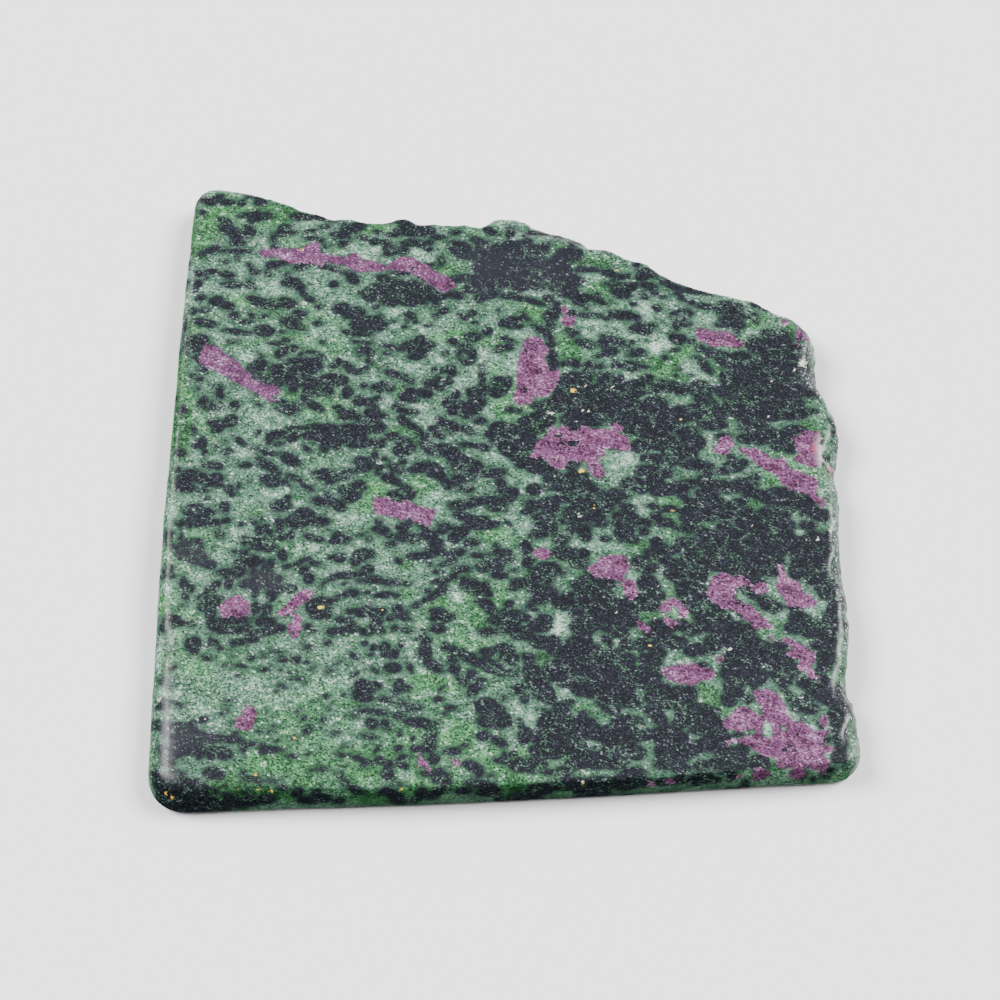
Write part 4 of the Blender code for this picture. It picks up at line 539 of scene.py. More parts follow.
# Ruby crystals: the corners of each outline in mm.
RUBIES = [
    [(-46.5, 47.2), (-45.6, 47.7), (-43, 47.8), (-38.5, 48), (-38.2, 48.6), (-37, 48.4),
     (-36.6, 49.3), (-35.6, 49.6), (-34.6, 48.6), (-34.9, 47.2), (-33, 46.4), (-29.8, 46),
     (-29.4, 46.7), (-28.2, 47), (-27.4, 46.2), (-27, 45.4), (-25, 45.1), (-23.4, 44.6),
     (-22.2, 44.2), (-21.9, 43.3), (-23.6, 42.9), (-25.5, 42.8), (-27.5, 42.6), (-28.8, 43.3),
     (-29.9, 44.2), (-31, 44.2), (-33.5, 45), (-34.6, 43.9), (-35.6, 44.6), (-37.5, 44.9),
     (-39, 45), (-40, 44.5), (-41.2, 45.2), (-43, 46.2), (-45, 45.8)],
    [(-22, 43.6), (-21.4, 44.6), (-20.6, 45.6), (-19.8, 46.2), (-18.3, 46.3), (-17, 45.8),
     (-16.4, 45), (-14.8, 44.2), (-13, 42.9), (-11.6, 41.9), (-10.5, 41.4), (-10.2, 40.3),
     (-9.6, 40.3), (-8.9, 39.8), (-9.6, 39.2), (-11.1, 38.2), (-12.2, 38.8), (-13.8, 39.7),
     (-15.2, 40.9), (-16.2, 42.1), (-17, 42), (-17.3, 42.8), (-18.6, 43.1), (-19.6, 42.9),
     (-20.8, 43.2), (-21.6, 43.1)],
    [(10.2, 34.8), (11, 35), (11.6, 34.2), (11.2, 33.5), (10.4, 33.6)],
    [(-55.1, 27.2), (-53.3, 26.6), (-51.3, 24.7), (-50.1, 23.9), (-48.1, 22.3), (-48.3, 21.6),
     (-47.3, 20.8), (-46.2, 20.4), (-46.5, 19.4), (-44.9, 19.2), (-44.9, 17.5), (-45.6, 16.6),
     (-46.6, 17.3), (-48.1, 18.1), (-50.1, 19.4), (-51.5, 20.4), (-53.5, 21.5), (-54.7, 22),
     (-55.9, 23), (-56.2, 24.1), (-55.4, 26)],
    [(-44.9, 16.2), (-43.6, 17.1), (-43.2, 18.1), (-42.2, 18.2), (-41, 17.1), (-41.4, 16.2),
     (-42.6, 15.9), (-41.8, 15.1), (-42.2, 14.3), (-43.7, 15.6)],
    [(-46, 17.8), (-44.4, 18.7), (-42.9, 17.6), (-44.5, 16)],
    [(5, 28.7), (6.4, 28.3), (7, 27.1), (7.9, 26.2), (7.5, 25), (7.1, 23.7), (7.6, 22.6),
     (8.1, 21.1), (9.2, 21.1), (9.7, 21.5), (9.7, 20.1), (9.3, 18.3), (8.5, 17.1), (7.7, 16.2),
     (6.4, 15.7), (4.9, 15.1), (4.4, 14.1), (3.2, 14.3), (2.3, 13.7), (1.6, 15.1), (1.5, 16.2),
     (2.1, 17.3), (2.2, 20.1), (2.3, 22.4), (2.6, 24.5), (3, 26), (3.6, 27.9)],
    [(10.4, 32.2), (11.2, 33), (12.3, 33), (12.9, 32), (12.6, 31), (11.4, 30.7), (10.5, 31.3)],
    [(4.4, 3.4), (5.1, 4.7), (5.3, 6.2), (6.8, 7), (7.9, 8.5), (8.5, 9.6), (9.2, 9), (10.7, 9.6),
     (11.3, 9), (12.8, 9), (14.5, 9.5), (16.2, 9), (18.1, 9), (19.2, 8.5), (19.6, 9), (19.2, 9.8),
     (19.8, 10.7), (21.3, 9.4), (20.4, 8.3), (21.8, 7.3), (22.4, 5.5), (22, 4.3), (20.5, 4.4),
     (19.2, 5.1), (18.6, 5.3), (17.1, 4.5), (18.1, 3.8), (17.1, 3.4), (16.2, 3), (17.1, 1.7),
     (17.5, 0.6), (17.9, -1.2), (17.1, -0.8), (16.3, -1.5), (15.4, -0.4), (14.9, 0.4), (14.7, 1.3),
     (14.3, 2.2), (12.8, 2.3), (11.9, 2.8), (11.1, 2.6), (10.7, 1.3), (10.2, 0.6), (9.2, 0.9),
     (7.9, 1.7), (7, 2.8), (5.8, 3), (5.1, 2.3)],
    [(35, 30.1), (35.9, 30.4), (37.2, 30), (38.3, 29.4), (39.5, 29.7), (41.2, 29.5), (42.3, 28.8),
     (42.9, 27.9), (44, 27.4), (43.6, 26.5), (42.7, 26), (41.5, 26.2), (40, 26.7), (38.5, 26.3),
     (37.2, 26.9), (35.9, 27.5), (35.1, 28.6)],
    [(51, 32.2), (52, 32.2), (52.2, 31.2), (51.4, 31.1)],
    [(53.6, 30.2), (54.3, 30), (55.4, 28.8), (56, 27.6), (55.4, 27.2), (54.4, 28.4), (53.8, 28.2),
     (53.4, 27), (53.9, 26.4), (53.3, 27.6)],
    [(52.3, 7.5), (53.6, 8.3), (55.1, 8.6), (56.6, 8.4), (57, 7.3), (56.4, 6.2), (56.8, 4.9),
     (56.5, 3.8), (56.9, 2.3), (56, 1.3), (54.7, 1.1), (53.6, 1.9), (52.5, 2.1), (51.7, 2.6),
     (51.9, 3.4), (53, 3.6), (52.3, 4.5), (51.9, 5.5), (52.3, 6.4), (51.6, 6.8)],
    [(57.4, 1.9), (58.2, 1.4), (58.9, 0), (58.6, -0.6), (57.8, 0.2)],
    [(38.3, 6.9), (39.5, 7.3), (40.4, 7.4), (40.7, 6.6), (41.3, 6), (40.6, 5.3), (40.2, 4.3),
     (39.3, 3.5), (38, 4.1), (37.4, 4.5), (37.6, 5.5), (38.1, 6.1)],
    [(-23.4, -5.1), (-21.6, -5), (-20.4, -5.3), (-19.4, -6), (-18, -5.6), (-16.6, -6.1),
     (-15.2, -6.9), (-13.6, -7.2), (-12.4, -7.4), (-12.6, -8.8), (-13.2, -10), (-13.7, -10.9),
     (-14.8, -10.1), (-16, -10), (-17.2, -9.2), (-18.4, -9.6), (-19.6, -8.9), (-21.4, -8.5),
     (-22.8, -8.4), (-23.4, -7.4), (-23.6, -6.2)],
    [(-46.9, -24.1), (-45.6, -24.7), (-44.9, -25.4), (-44.3, -26.6), (-44.4, -27.6),
     (-45.3, -28.2), (-47.1, -28.2), (-48, -28.3), (-48.8, -28.6), (-49.5, -28), (-49.6, -26.7),
     (-49, -25.5), (-48, -24.7)],
    [(-35.8, -23.5), (-34.5, -23.1), (-33.5, -23.7), (-33.6, -24.5), (-35.3, -25.8),
     (-36.6, -26.9), (-36.8, -27.5), (-38.1, -27.7), (-38.9, -28.5), (-39.7, -27.5),
     (-38.3, -26.5), (-37.5, -25.4), (-36.6, -24.3)],
    [(-37, -27.6), (-35.8, -27.9), (-35.1, -29.2), (-35.3, -30.9), (-35.8, -32.3), (-36.8, -32.4),
     (-37.7, -31.1), (-37.5, -29.9), (-36.8, -28.8)],
    [(5, -15.4), (5.8, -14.9), (6.9, -15.2), (8, -16.1), (7.8, -17), (6.6, -17.4), (5.6, -17),
     (4.9, -16.3)],
    [(7.7, -17.7), (8.2, -17.8), (8.1, -18.3), (7.7, -18.2)],
    [(13.8, -18.9), (14.9, -18.4), (15.9, -17.9), (16.6, -16.9), (18, -16.5), (19.4, -16.6),
     (20.6, -16.5), (21.2, -17.2), (21.8, -18.9), (21.4, -19.7), (20.4, -20.4), (20.9, -21.3),
     (22, -21.2), (22.7, -22.4), (23.2, -23.8), (22.6, -24.7), (21.6, -25.2), (20.8, -24),
     (20.4, -22.4), (19.8, -21.4), (18.8, -20.8), (17.8, -21.1), (16.6, -20.4), (15.6, -20.8),
     (15, -19.9)],
    [(26.8, -25.9), (27.9, -25.6), (28.4, -24.9), (29.4, -24.8), (30.4, -25.6), (31, -26.2),
     (31.6, -27), (31.4, -28.2), (30.6, -28.6), (29.8, -27.8), (29.9, -26.6), (28.9, -26.2),
     (28.4, -27.4), (27.4, -27.6), (26.5, -27.2)],
    [(27.2, -28.4), (28.2, -28.5), (29.4, -29.4), (29.6, -30.4), (28.6, -30.4), (27.9, -29.6),
     (27, -29)],
    [(22.6, -29.2), (23.4, -29.1), (24.4, -30), (24.9, -30.8), (24.2, -31.6), (23.3, -31),
     (22.6, -30.2)],
    [(41.5, 5.2), (42.9, 5.1), (44.7, 4.9), (45.9, 4.5), (47, 3.6), (48.1, 2.8), (49.3, 3.2),
     (50, 2.3), (50.6, 1.3), (51.5, 0.4), (53.2, -0.1), (54.8, -0.8), (55.8, -1.6), (55.4, -3.2),
     (55, -4.2), (56, -5.6), (56.6, -6.6), (55.8, -7), (55, -5.8), (53.8, -4.3), (52.6, -4),
     (51.2, -3.4), (50, -3), (49.1, -1.9), (48.4, -0.4), (47.4, 0.3), (46.4, 0.6), (44.9, 1.9),
     (43.8, 3.2), (42.5, 4.1)],
    [(56.6, -4.9), (57.1, -5), (57, -5.5), (56.5, -5.4)],
    [(35.2, -22.6), (36.2, -20.6), (37.6, -20), (39.2, -20.3), (39.6, -20.9), (41.2, -20.6),
     (42.4, -21.3), (42.6, -22), (41.6, -22.4), (40.4, -22.2), (39.8, -23.4), (39.9, -24.6),
     (40.3, -25.6), (41.4, -25.9), (42.4, -26.1), (43.4, -27), (44.2, -28.2), (45.4, -29.2),
     (46.2, -30.2), (45.4, -30.8), (43.9, -30.4), (42.9, -30.8), (42.2, -29.4), (41, -28.2),
     (39.6, -27.2), (38, -27), (36.9, -26.2), (35.8, -25.4), (35.1, -24.2)],
    [(42.4, -22.5), (43.6, -22.3), (44.4, -21.8), (45.2, -22.2), (45.6, -23.6), (45, -24.1),
     (44.2, -23.8), (43.2, -23.6)],
    [(47.3, -18.4), (48.4, -18.6), (48.9, -19.4), (48.8, -20.4), (49.4, -21.2), (50.6, -21.3),
     (51.4, -22.2), (51.6, -23.8), (52.6, -24.1), (53.9, -25.2), (54.3, -25.6), (53.4, -26.4),
     (52.2, -26.6), (50.4, -26.5), (49, -26.4), (48.5, -25.2), (47.8, -24), (47.2, -22.6),
     (47.4, -21.2), (48, -20.4), (47.6, -19.4)],
    [(-44.5, -45.2), (-43.2, -45.2), (-42.2, -46.3), (-42.5, -48), (-43, -49.3), (-44.3, -49.6),
     (-45.6, -49.1), (-45.8, -47.8), (-44.9, -46.7)],
    [(-15, -53.7), (-14.5, -53.8), (-14.1, -54.8), (-13.3, -55.3), (-13.1, -56.1), (-12.4, -56.3),
     (-12.9, -57.4), (-13.9, -56.5), (-14.6, -55.7), (-15, -54.6)],
    [(-9.7, -54.6), (-8.4, -54.8), (-7.6, -55.5), (-7.7, -56.1), (-8.4, -56), (-9.2, -55.4)],
    [(26.5, -38.2), (27.5, -37.8), (29.2, -37.7), (31, -37.4), (32.5, -37.3), (33.8, -38.2),
     (35.1, -38.1), (36, -39.4), (35.1, -39.9), (33.6, -40.5), (32.1, -41.2), (31, -41.1),
     (29.9, -40.9), (28.2, -40.5), (27.1, -39.7)],
    [(36, -36.1), (37.2, -35.7), (37.4, -36.9), (36.3, -37.2)],
    [(45.1, -32), (45.9, -32.2), (46.1, -33.3), (45.5, -33.2)],
    [(47.4, -32.4), (49.1, -32.6), (50.4, -33.3), (51.9, -34.1), (53, -35.2), (53.1, -36.7),
     (52.3, -37.8), (52.8, -39), (53.4, -39.9), (52.1, -40.2), (51.5, -38.8), (50.2, -38.6),
     (50, -37.8), (50.4, -36.7), (49.3, -36.1), (48.1, -35.4), (49.3, -34.8), (49.1, -33.9),
     (48.1, -33.3)],
    [(42.1, -42.2), (43.8, -42.1), (45.7, -42.2), (46.4, -43.1), (47, -44.2), (47.9, -44.8),
     (47.2, -45.9), (48.1, -47.1), (48.7, -48.2), (49.6, -47.8), (50.4, -47.9), (51.3, -49.1),
     (52.3, -49.9), (53.6, -49.5), (54.7, -49.7), (54.5, -50.6), (53.6, -50.8), (53.4, -52.1),
     (55.1, -52.5), (55.1, -53.3), (53.6, -53.5), (53.2, -54.2), (54.3, -55.3), (54.7, -56.1),
     (53.6, -56.7), (51.9, -56.7), (50.2, -56.1), (48.5, -56.1), (47.2, -56.5), (45.7, -56.5),
     (45.1, -55.3), (45.9, -54.6), (44.2, -54.4), (42.9, -53.8), (41.7, -53.1), (40.6, -52.3),
     (39.5, -51.8), (38.3, -51.8), (37.6, -52.6), (37.2, -51.8), (37.8, -51.2), (39.5, -51),
     (40.4, -50.6), (41.7, -50.3), (42.5, -49.7), (41.5, -49.3), (40.4, -49.7), (39.1, -49.7),
     (37.4, -49.1), (36.5, -47.9), (38, -46.9), (38.9, -45.7), (40, -45.2), (41.2, -45.4),
     (42.5, -46.7), (43.3, -47.4), (43.6, -45.9), (43.2, -44.8), (42.3, -43.9)],
    [(41.5, -56.5), (42.9, -56.3), (44.7, -57.4), (44.2, -58.5), (42.7, -58.9), (41.7, -57.8)],
    [(48.5, -56.1), (50.2, -56.1), (50.6, -57.6), (50.2, -58.5), (48.5, -58.2), (47.9, -57.4)],
    [(53.2, -46.9), (54.5, -47.1), (54.3, -48.9), (53.2, -48.4)],
    [(23.8, -59.3), (24.8, -59.2), (25, -60), (24, -60.2)],
    [(26.8, -58.7), (28, -58.5), (28.5, -59.4), (27.2, -59.7)],
    [(38.9, -57.7), (39.9, -57.6), (40.2, -58.3), (39.2, -58.4)],
    [(53, -57), (53.9, -57.1), (53.8, -57.8), (52.9, -57.8)],
]

# Hornblende grains inside the rubies, as in CLOTS.
RUBY_HOLES = [
    (-17.2, 43.4, 0.8, 1.3), (3.8, 25.2, 1, 1.1), (3.6, 17.3, 1.2, 1.4), (6.7, 20.9, 0.8, 0.8),
    (8.2, 19.4, 1.2, 0.5, -45), (5.8, 19.5, 0.6, 0.5), (4.1, 27, 0.5, 0.6),
    (5.7, 26.6, 1.2, 0.4, -50), (5.5, 16.2, 1, 0.8), (9.6, 7.7, 1.8, 0.9), (9.7, 6, 1.2, 1.5),
    (10.7, 4.6, 1.1, 1), (7.4, 6.2, 0.5, 1.2), (12.3, 6, 2.2, 1.7), (12.2, 8.7, 1.9, 0.9),
    (8.7, 2.8, 1, 0.9), (13.7, 5.5, 1, 0.8), (6.1, 3.2, 0.9, 0.5), (15.8, 1.4, 0.8, 0.5),
    (16.4, 0.5, 0.9, 0.6), (11.9, 1.7, 1.8, 1.4), (39.3, 28.8, 1, 0.4, -40),
    (-19.2, -5.6, 1.6, 0.8), (-17, -9.2, 0.7, 0.6), (41, -26.6, 1.6, 0.5, -40),
    (41.6, -21.4, 0.9, 0.4, -20), (52.4, -25.1, 0.7, 0.7), (51.6, -2.4, 0.6, 0.7),
    (19.8, -18, 0.3, 0.3), (22, -24, 0.4, 0.5), (39.4, -23.6, 0.4, 0.5),
    (53.4, -3.9, 0.8, 0.5, -20), (-36.6, -31, 0.4, 0.6), (46.8, -53.3, 1.3, 1.1),
    (47.4, -52.5, 0.8, 0.8), (48.5, -53.1, 0.8, 0.9), (48.4, -52, 0.6, 0.5),
    (53.3, -51.8, 0.6, 0.6), (54.3, -51.4, 0.9, 0.8), (39.7, -48.6, 0.6, 0.7),
    (39.3, -50.3, 1.8, 0.5), (45.9, -55.5, 1, 0.4, 30), (51.6, -35.8, 0.6, 0.4),
    (32.1, -39.7, 0.8, 0.4, -20), (27.6, -38.7, 0.5, 0.4), (-8.2, -55.7, 0.5, 0.3, -20),
]

# Zoisite inside the rubies, as in CLOTS.
RUBY_GAPS = [
    (44.2, -49.6, 1.8, 3.4), (47, -49.1, 0.8, 1.1), (-44.5, -46.9, 0.4, 0.9, 20),
]

# Paler (above 0) and greener (below 0) parts of the zoisite: x, y, radii and strength.
PATCHES = [
    (-36.8, 53, 3, 1.8, 1), (-44, 39.2, 4.5, 1.4, 0.9), (-47, 44.5, 3, 2, 0.5),
    (-54, 39.2, 3.5, 1.5, 0.6), (-59, 38.5, 1.2, 4, 0.9), (-42.5, 56.2, 3.5, 2, -1),
    (-57.5, 51.5, 2.5, 4, -0.9), (-57.2, 46.5, 1.8, 1.6, -0.9), (-52, 56.8, 5, 1, -0.5),
    (-40, 47.3, 2, 1, -0.2), (-31.5, 36.5, 2.5, 2.5, 0.3), (-35, 41.5, 4, 2, 0.2),
    (-23.5, 50.6, 3, 0.8, 0.9), (-23.9, 47.9, 0.9, 0.7, 1.6), (-16.8, 47.3, 1.5, 0.7, 1.5),
    (-15.4, 46.2, 1.8, 0.9, 0.9), (-26.5, 47.2, 3, 1.4, 0.9), (-25.8, 39.9, 1.6, 1, 0.8),
    (-24.8, 52.3, 2.2, 1.4, -0.6), (-10.6, 43.2, 3.2, 1.2, -0.7), (-12.5, 49, 2.6, 1.8, -0.4),
    (-1.5, 34.8, 4.5, 2, -0.2), (-9, 33.4, 2, 1.2, 0.5), (-21, 33.8, 2.5, 1, 0.7),
    (-16.9, 44.3, 0.7, 0.8, 1.6), (1.5, 53.6, 3, 0.9, 0.5), (3.4, 50.8, 3, 0.6, 1.4),
    (8.8, 51, 1.8, 0.9, 1.4), (17.2, 47, 1, 1.2, 0.9), (25.5, 35, 2, 1.6, 1.3),
    (25, 37.8, 1.5, 1, 1), (5, 38.2, 2.6, 0.9, 0.8), (16.2, 41.5, 2.4, 1.2, 0.7),
    (28.5, 36.3, 2.2, 1.4, 0.7), (15.5, 45, 3, 1.6, -0.9), (9, 48, 2.6, 1.3, -0.8),
    (20, 45, 3, 1.4, -0.5), (5, 33.4, 1.8, 1.8, -0.6), (17.6, 39.2, 1.6, 1.2, -0.6),
    (44.5, 36.9, 5, 0.9, 0.9), (50, 33.9, 2.5, 1, 0.9), (36, 32.8, 3, 1.8, 0.6),
    (34.8, 37.6, 1.6, 0.7, 0.8), (35.8, 34, 1.4, 1.2, -0.5), (47.6, 33, 1.2, 0.9, -0.8),
    (-53.3, 28.9, 2.6, 1.4, 0.8), (-48.8, 28.6, 3.2, 0.4, 1.1), (-42.8, 30.7, 0.9, 1.2, 1.3),
    (-44.1, 26.2, 1, 0.8, 1.1), (-47.9, 24.1, 1.8, 1, 0.9), (-47.1, 16.4, 1.6, 0.8, 0.8),
    (-41.1, 12.7, 1, 0.5, 2), (-43.2, 10.7, 3.5, 2.5, 0.5), (-51.3, 13.3, 1.1, 1.2, 1),
    (-47.1, 4.3, 1.5, 0.9, 1.1), (-37.7, 6.4, 1.5, 0.5, 1), (-34.3, 29.2, 2, 2, 0.4),
    (-58.4, 7.9, 1.4, 4.2, -1.3), (-58.8, 22.6, 0.8, 3, -0.9), (-58, 30.2, 1.2, 0.8, -0.9),
    (-39.2, 16.9, 1.4, 1.4, -0.8), (-52.6, 26.9, 1.4, 0.8, -0.5), (-57, 17, 2, 2.5, -0.3),
    (-45, 12.5, 2, 1.6, 0.3), (-33.5, 3, 2, 2, -0.4), (-15.3, 29.7, 0.7, 0.8, 1.4),
    (-20.1, 31, 1.2, 0.7, 1.3), (-22.5, 29, 1.4, 1.5, 0.9), (-12.7, 30.3, 2.2, 1.4, 0.6),
    (-29.1, 23.7, 1.3, 0.7, 1.3), (-28.4, 20.1, 0.8, 0.4, 2), (-24.4, 19.4, 2.4, 0.9, 0.7),
    (-20.3, 21.5, 1, 0.3, 1.3), (-11.8, 23.5, 0.6, 0.5, 1.6), (-16.1, 22.1, 0.6, 0.3, 1.3),
    (-3.5, 24.7, 2, 1.4, 0.9), (-4.3, 22.2, 0.6, 1.6, 1), (-8.6, 18.1, 1.4, 2, 0.8),
    (-5.9, 19.2, 0.5, 1.4, 0.9), (-21.8, 14.3, 1.5, 0.7, 0.8), (-16.3, 13.7, 1.4, 0.5, 1),
    (-14.6, 11.5, 2, 1.5, 0.9), (-12.9, 10.9, 0.8, 0.8, 1.3), (-2.6, 11.5, 0.7, 1.2, 1.3),
    (-3.5, 13, 0.8, 0.7, 1.1), (-17.5, 3.8, 0.9, 0.8, 1.5), (-1.8, 3.6, 1.9, 1.5, 0.9),
    (-21.2, 4.3, 1.1, 1.6, 0.8), (-8.4, 8.1, 0.9, 0.5, 1.2), (-1.1, 12.6, 1.5, 1.5, -1),
    (-9.7, 28.8, 4, 1, -0.5), (-23.5, 22.4, 2, 1.4, -0.6), (-18.4, 9, 2.2, 1, -0.9),
    (-16.3, 6.8, 1, 1.8, -0.9), (-19.1, 17.3, 1.2, 1.8, -0.6), (-21.6, 27.7, 2, 2, -0.4),
    (-12, 2.6, 1.8, 0.6, -0.4), (26.3, 26.2, 1.8, 1, 1.6), (27.4, 25.2, 1, 0.8, 1.2),
    (23.5, 28.7, 2, 0.7, 1.2), (28.8, 27.7, 1.6, 1.1, 1.2), (29.9, 26.5, 1.4, 0.9, 0.8),
    (22.2, 20.9, 0.7, 0.3, 1.7), (22.4, 19.5, 1.6, 0.7, 1.3), (19.2, 23.5, 1.2, 0.7, 0.8),
    (17, 31.6, 1.5, 0.5, 0.9), (14.5, 31.4, 1.1, 0.7, 1), (16.9, 20.7, 0.4, 0.4, 1.5),
    (1.1, 23, 1, 2.4, 0.8), (3, 28.6, 1.5, 0.6, 1), (11.5, 26, 2, 3, -1.1),
    (17.1, 25.8, 1.4, 1.4, -0.4), (29.9, 21.6, 3, 2.2, -1), (27.5, 22.8, 1.8, 1.4, -0.8),
    (16.1, 19.2, 0.7, 1.4, -1), (4.9, 31.6, 1.5, 0.7, -0.9), (20.4, 2.6, 2.8, 1.9, 0.8),
    (22, 3.2, 1.3, 1, 1.3), (20.5, 1.4, 1.5, 1, 0.9), (32.3, 21.8, 1.2, 0.9, 1.3),
    (33.8, 23, 1.6, 1.1, 0.8), (36.8, 7, 1.1, 1.1, 0.9), (45.6, 29.2, 1.5, 0.6, 1.5),
    (44.6, 30, 0.8, 0.5, 1.2), (52.3, 29.4, 1, 2.2, -1), (44.9, 30.9, 1.8, 1.3, -0.9),
    (57, 11.4, 2, 1.8, 0.5), (58.4, 11.6, 1, 1.5, -0.9), (55.6, 9.8, 2, 1, -0.7),
    (54.6, 14, 1.4, 1.3, -0.5), (48.7, 4.1, 1.6, 0.7, -0.7), (44, 6.2, 3, 0.6, -0.5),
    (38.5, 22.6, 1.8, 2, -0.6), (33.1, 24.8, 2, 1.4, -0.5), (38.4, 18.1, 2.2, 0.3, 1.2),
    (36, 19.6, 1.5, 0.3, 1.2), (33.8, 21, 1.4, 0.3, 1.2), (-49.2, -5.4, 2, 0.6, 1),
    (-59, -8.3, 0.7, 2.2, 1.2), (-46.6, -7, 1, 0.7, 1), (-40.7, -3.8, 2, 0.9, 1.1),
    (-36.8, -6.2, 0.8, 0.5, 1.2), (-45.6, -11, 1.4, 1.2, 0.5), (-47, -12.6, 1.4, 1.3, 0.6),
    (-33.6, -14.7, 0.9, 0.7, 1.4), (-36.6, -16.4, 0.4, 0.6, 1.2), (-48.3, -16.4, 1.8, 1, 0.5),
    (-59, -23, 0.8, 0.9, 1.2), (-53.9, -20.5, 1.5, 1.1, 0.6), (-42.4, -11.2, 0.5, 0.7, 1.4),
    (-57.7, -7.7, 0.9, 1.2, -0.7), (-43.9, -7.9, 1.3, 0.9, -0.7), (-36.8, -5.2, 1.5, 0.7, -0.7),
    (-58.9, -13.8, 0.5, 1.5, -0.9), (-59.3, -26.2, 0.6, 1.8, -0.7), (-29.8, -8.8, 1.2, 0.6, 0.8),
    (-28.6, -8.8, 1, 0.6, 0.9), (-24.6, -9.4, 3, 1.2, 0.5), (-26, -14.2, 0.8, 0.8, 0.9),
    (-28.6, -18.9, 1.2, 0.8, 1.2), (-30, -20.2, 1.4, 0.8, 0.8), (-22, -18.4, 1.6, 1, 0.8),
    (-12.4, -4.4, 0.6, 0.4, 1.6), (-9.4, -4.6, 0.5, 0.9, 1), (-11.6, -12.4, 0.9, 0.8, 1.1),
    (-10, -13.4, 0.8, 1.2, 1), (-12, -7.2, 1.2, 0.6, 0.8), (-8.6, -24.7, 0.9, 0.9, 1.8),
    (-14, -22, 1.2, 0.6, 0.8), (-15.2, -19.6, 2, 0.5, 0.8), (-27, -28.4, 0.6, 0.9, 1.2),
    (-24, -28.8, 0.6, 1.2, 1.3), (-4.8, -31.6, 1.4, 0.8, 0.6), (-3, -12.6, 1.8, 1.4, -0.6),
    (-24.6, -11, 2, 1.6, -0.3), (-17.6, -18.4, 2, 1.2, -0.5), (-17.6, -24.2, 1.6, 0.9, -0.8),
    (-15, -1.6, 3, 2, -0.4), (-23, -3.6, 1.6, 1.2, -0.5), (-4, -2.6, 1.8, 1.4, -0.4),
    (-11.6, -25.4, 1.4, 1.4, -0.6), (-4.6, -29.4, 1.6, 1.4, -0.5), (5.4, -1.6, 1, 0.6, 1.2),
    (0.8, -8.8, 0.9, 1.4, 1), (3.2, -11, 1.6, 1.2, 1), (2.6, -5.8, 1.4, 1, -0.5),
    (13, -8.6, 0.7, 0.6, 1.6), (10.9, -8.8, 0.3, 0.4, 1.8), (10.4, -5.8, 0.7, 0.7, 0.9),
    (6.8, -4.8, 0.8, 1.2, 0.5), (12.7, -14.2, 1, 0.8, 1), (17.6, -14.6, 2.8, 0.9, 1.1),
    (16.2, -13.4, 1.2, 1.6, 0.4), (22.4, -15.6, 1.4, 0.5, 0.9), (23.6, -14.8, 2, 1.4, -0.8),
    (22.6, -6.2, 1.6, 0.8, 1.1), (24.6, -5.6, 1.4, 1, 0.9), (26.2, -6.6, 0.5, 0.5, 1.3),
    (24, -8, 1, 1.4, 0.5), (26.2, -12.4, 1, 1.2, 0.9), (28.8, -12.8, 2, 1.6, -0.2),
    (22.2, -21, 0.9, 1, 1.4), (27, -19, 1.4, 0.8, 1.2), (28.6, -19.6, 1.2, 0.8, 0.9),
    (26.8, -21.2, 1.4, 1.2, 0.6), (26.7, -22.5, 0.3, 0.3, 1.6), (10, -29, 1.6, 1.4, 1.5),
    (9, -31, 1.4, 0.9, 1.2), (3, -25.6, 1.6, 1.2, 0.8), (4.6, -28, 0.6, 1, 1),
    (8.2, -30.6, 1.2, 1.6, 0.4), (5.4, -27.8, 1.2, 0.3, 1.2), (12.2, -21.6, 1.4, 1, -0.4),
    (12.6, -22.4, 0.8, 1.6, -0.3), (24.8, -28.6, 1.4, 1.2, -0.5), (28.8, -23.6, 1.4, 1.4, -0.3),
    (2.6, -18, 1, 1.2, 0.5), (18.6, -31.4, 1.4, 0.5, -0.4), (33, -0.8, 1.4, 0.9, -0.3),
    (46.8, -1.8, 1.6, 1.4, -0.6), (43.8, -6.2, 1.2, 1, -0.9), (31.4, -6.6, 0.8, 1.2, -0.7),
    (38.8, -4.8, 0.6, 0.6, 1.2), (39.9, -5.6, 0.3, 0.3, 1.8), (38.3, -8.4, 0.5, 1.6, 0.5),
    (52.4, -8.6, 1.6, 0.8, 0.5), (51.6, -12.2, 0.8, 0.6, 1.6), (54.9, -13.4, 0.5, 0.6, 1.5),
    (33.4, -12.6, 1.4, 1.2, -0.5), (37.8, -11.6, 1.6, 1, 0.4), (33.4, -16, 1.4, 0.8, -0.6),
    (49, -17.7, 0.7, 0.5, 1.5), (44.9, -13.2, 0.4, 0.4, 1.6), (43.5, -10.5, 0.3, 0.5, 1.7),
    (43, -17.2, 0.5, 0.4, 1.4), (43.6, -18.4, 0.5, 0.6, 1.4), (43.2, -19.3, 0.4, 0.4, 1.4),
    (36, -18.6, 0.6, 0.6, 1.4), (48, -27.6, 2, 1, 0.8), (47.2, -29.4, 2, 1.2, -0.4),
    (50.6, -27.3, 1.4, 0.5, 0.9), (54.4, -26.2, 1.4, 1.6, 0.6), (41.6, -24.6, 1.2, 0.7, 0.6),
    (45.2, -22.8, 1.6, 1.2, 0.4), (35.9, -29.4, 0.4, 0.5, 1.4), (39.6, -28.8, 0.9, 0.8, 1.2),
    (49.8, -19.4, 0.6, 0.6, 0.8), (54, -22.8, 1.2, 0.8, 0.5), (-59.2, -33.7, 0.7, 2, 1.4),
    (-59.6, -37.3, 0.6, 2, 1.4), (-58.8, -41.8, 0.9, 1, 1), (-56.5, -43.3, 1.5, 0.7, 1),
    (-47.9, -39.3, 1.6, 0.8, 0.7), (-42.8, -41.2, 1.6, 0.8, 0.7), (-51.8, -46.5, 1.5, 0.7, 0.8),
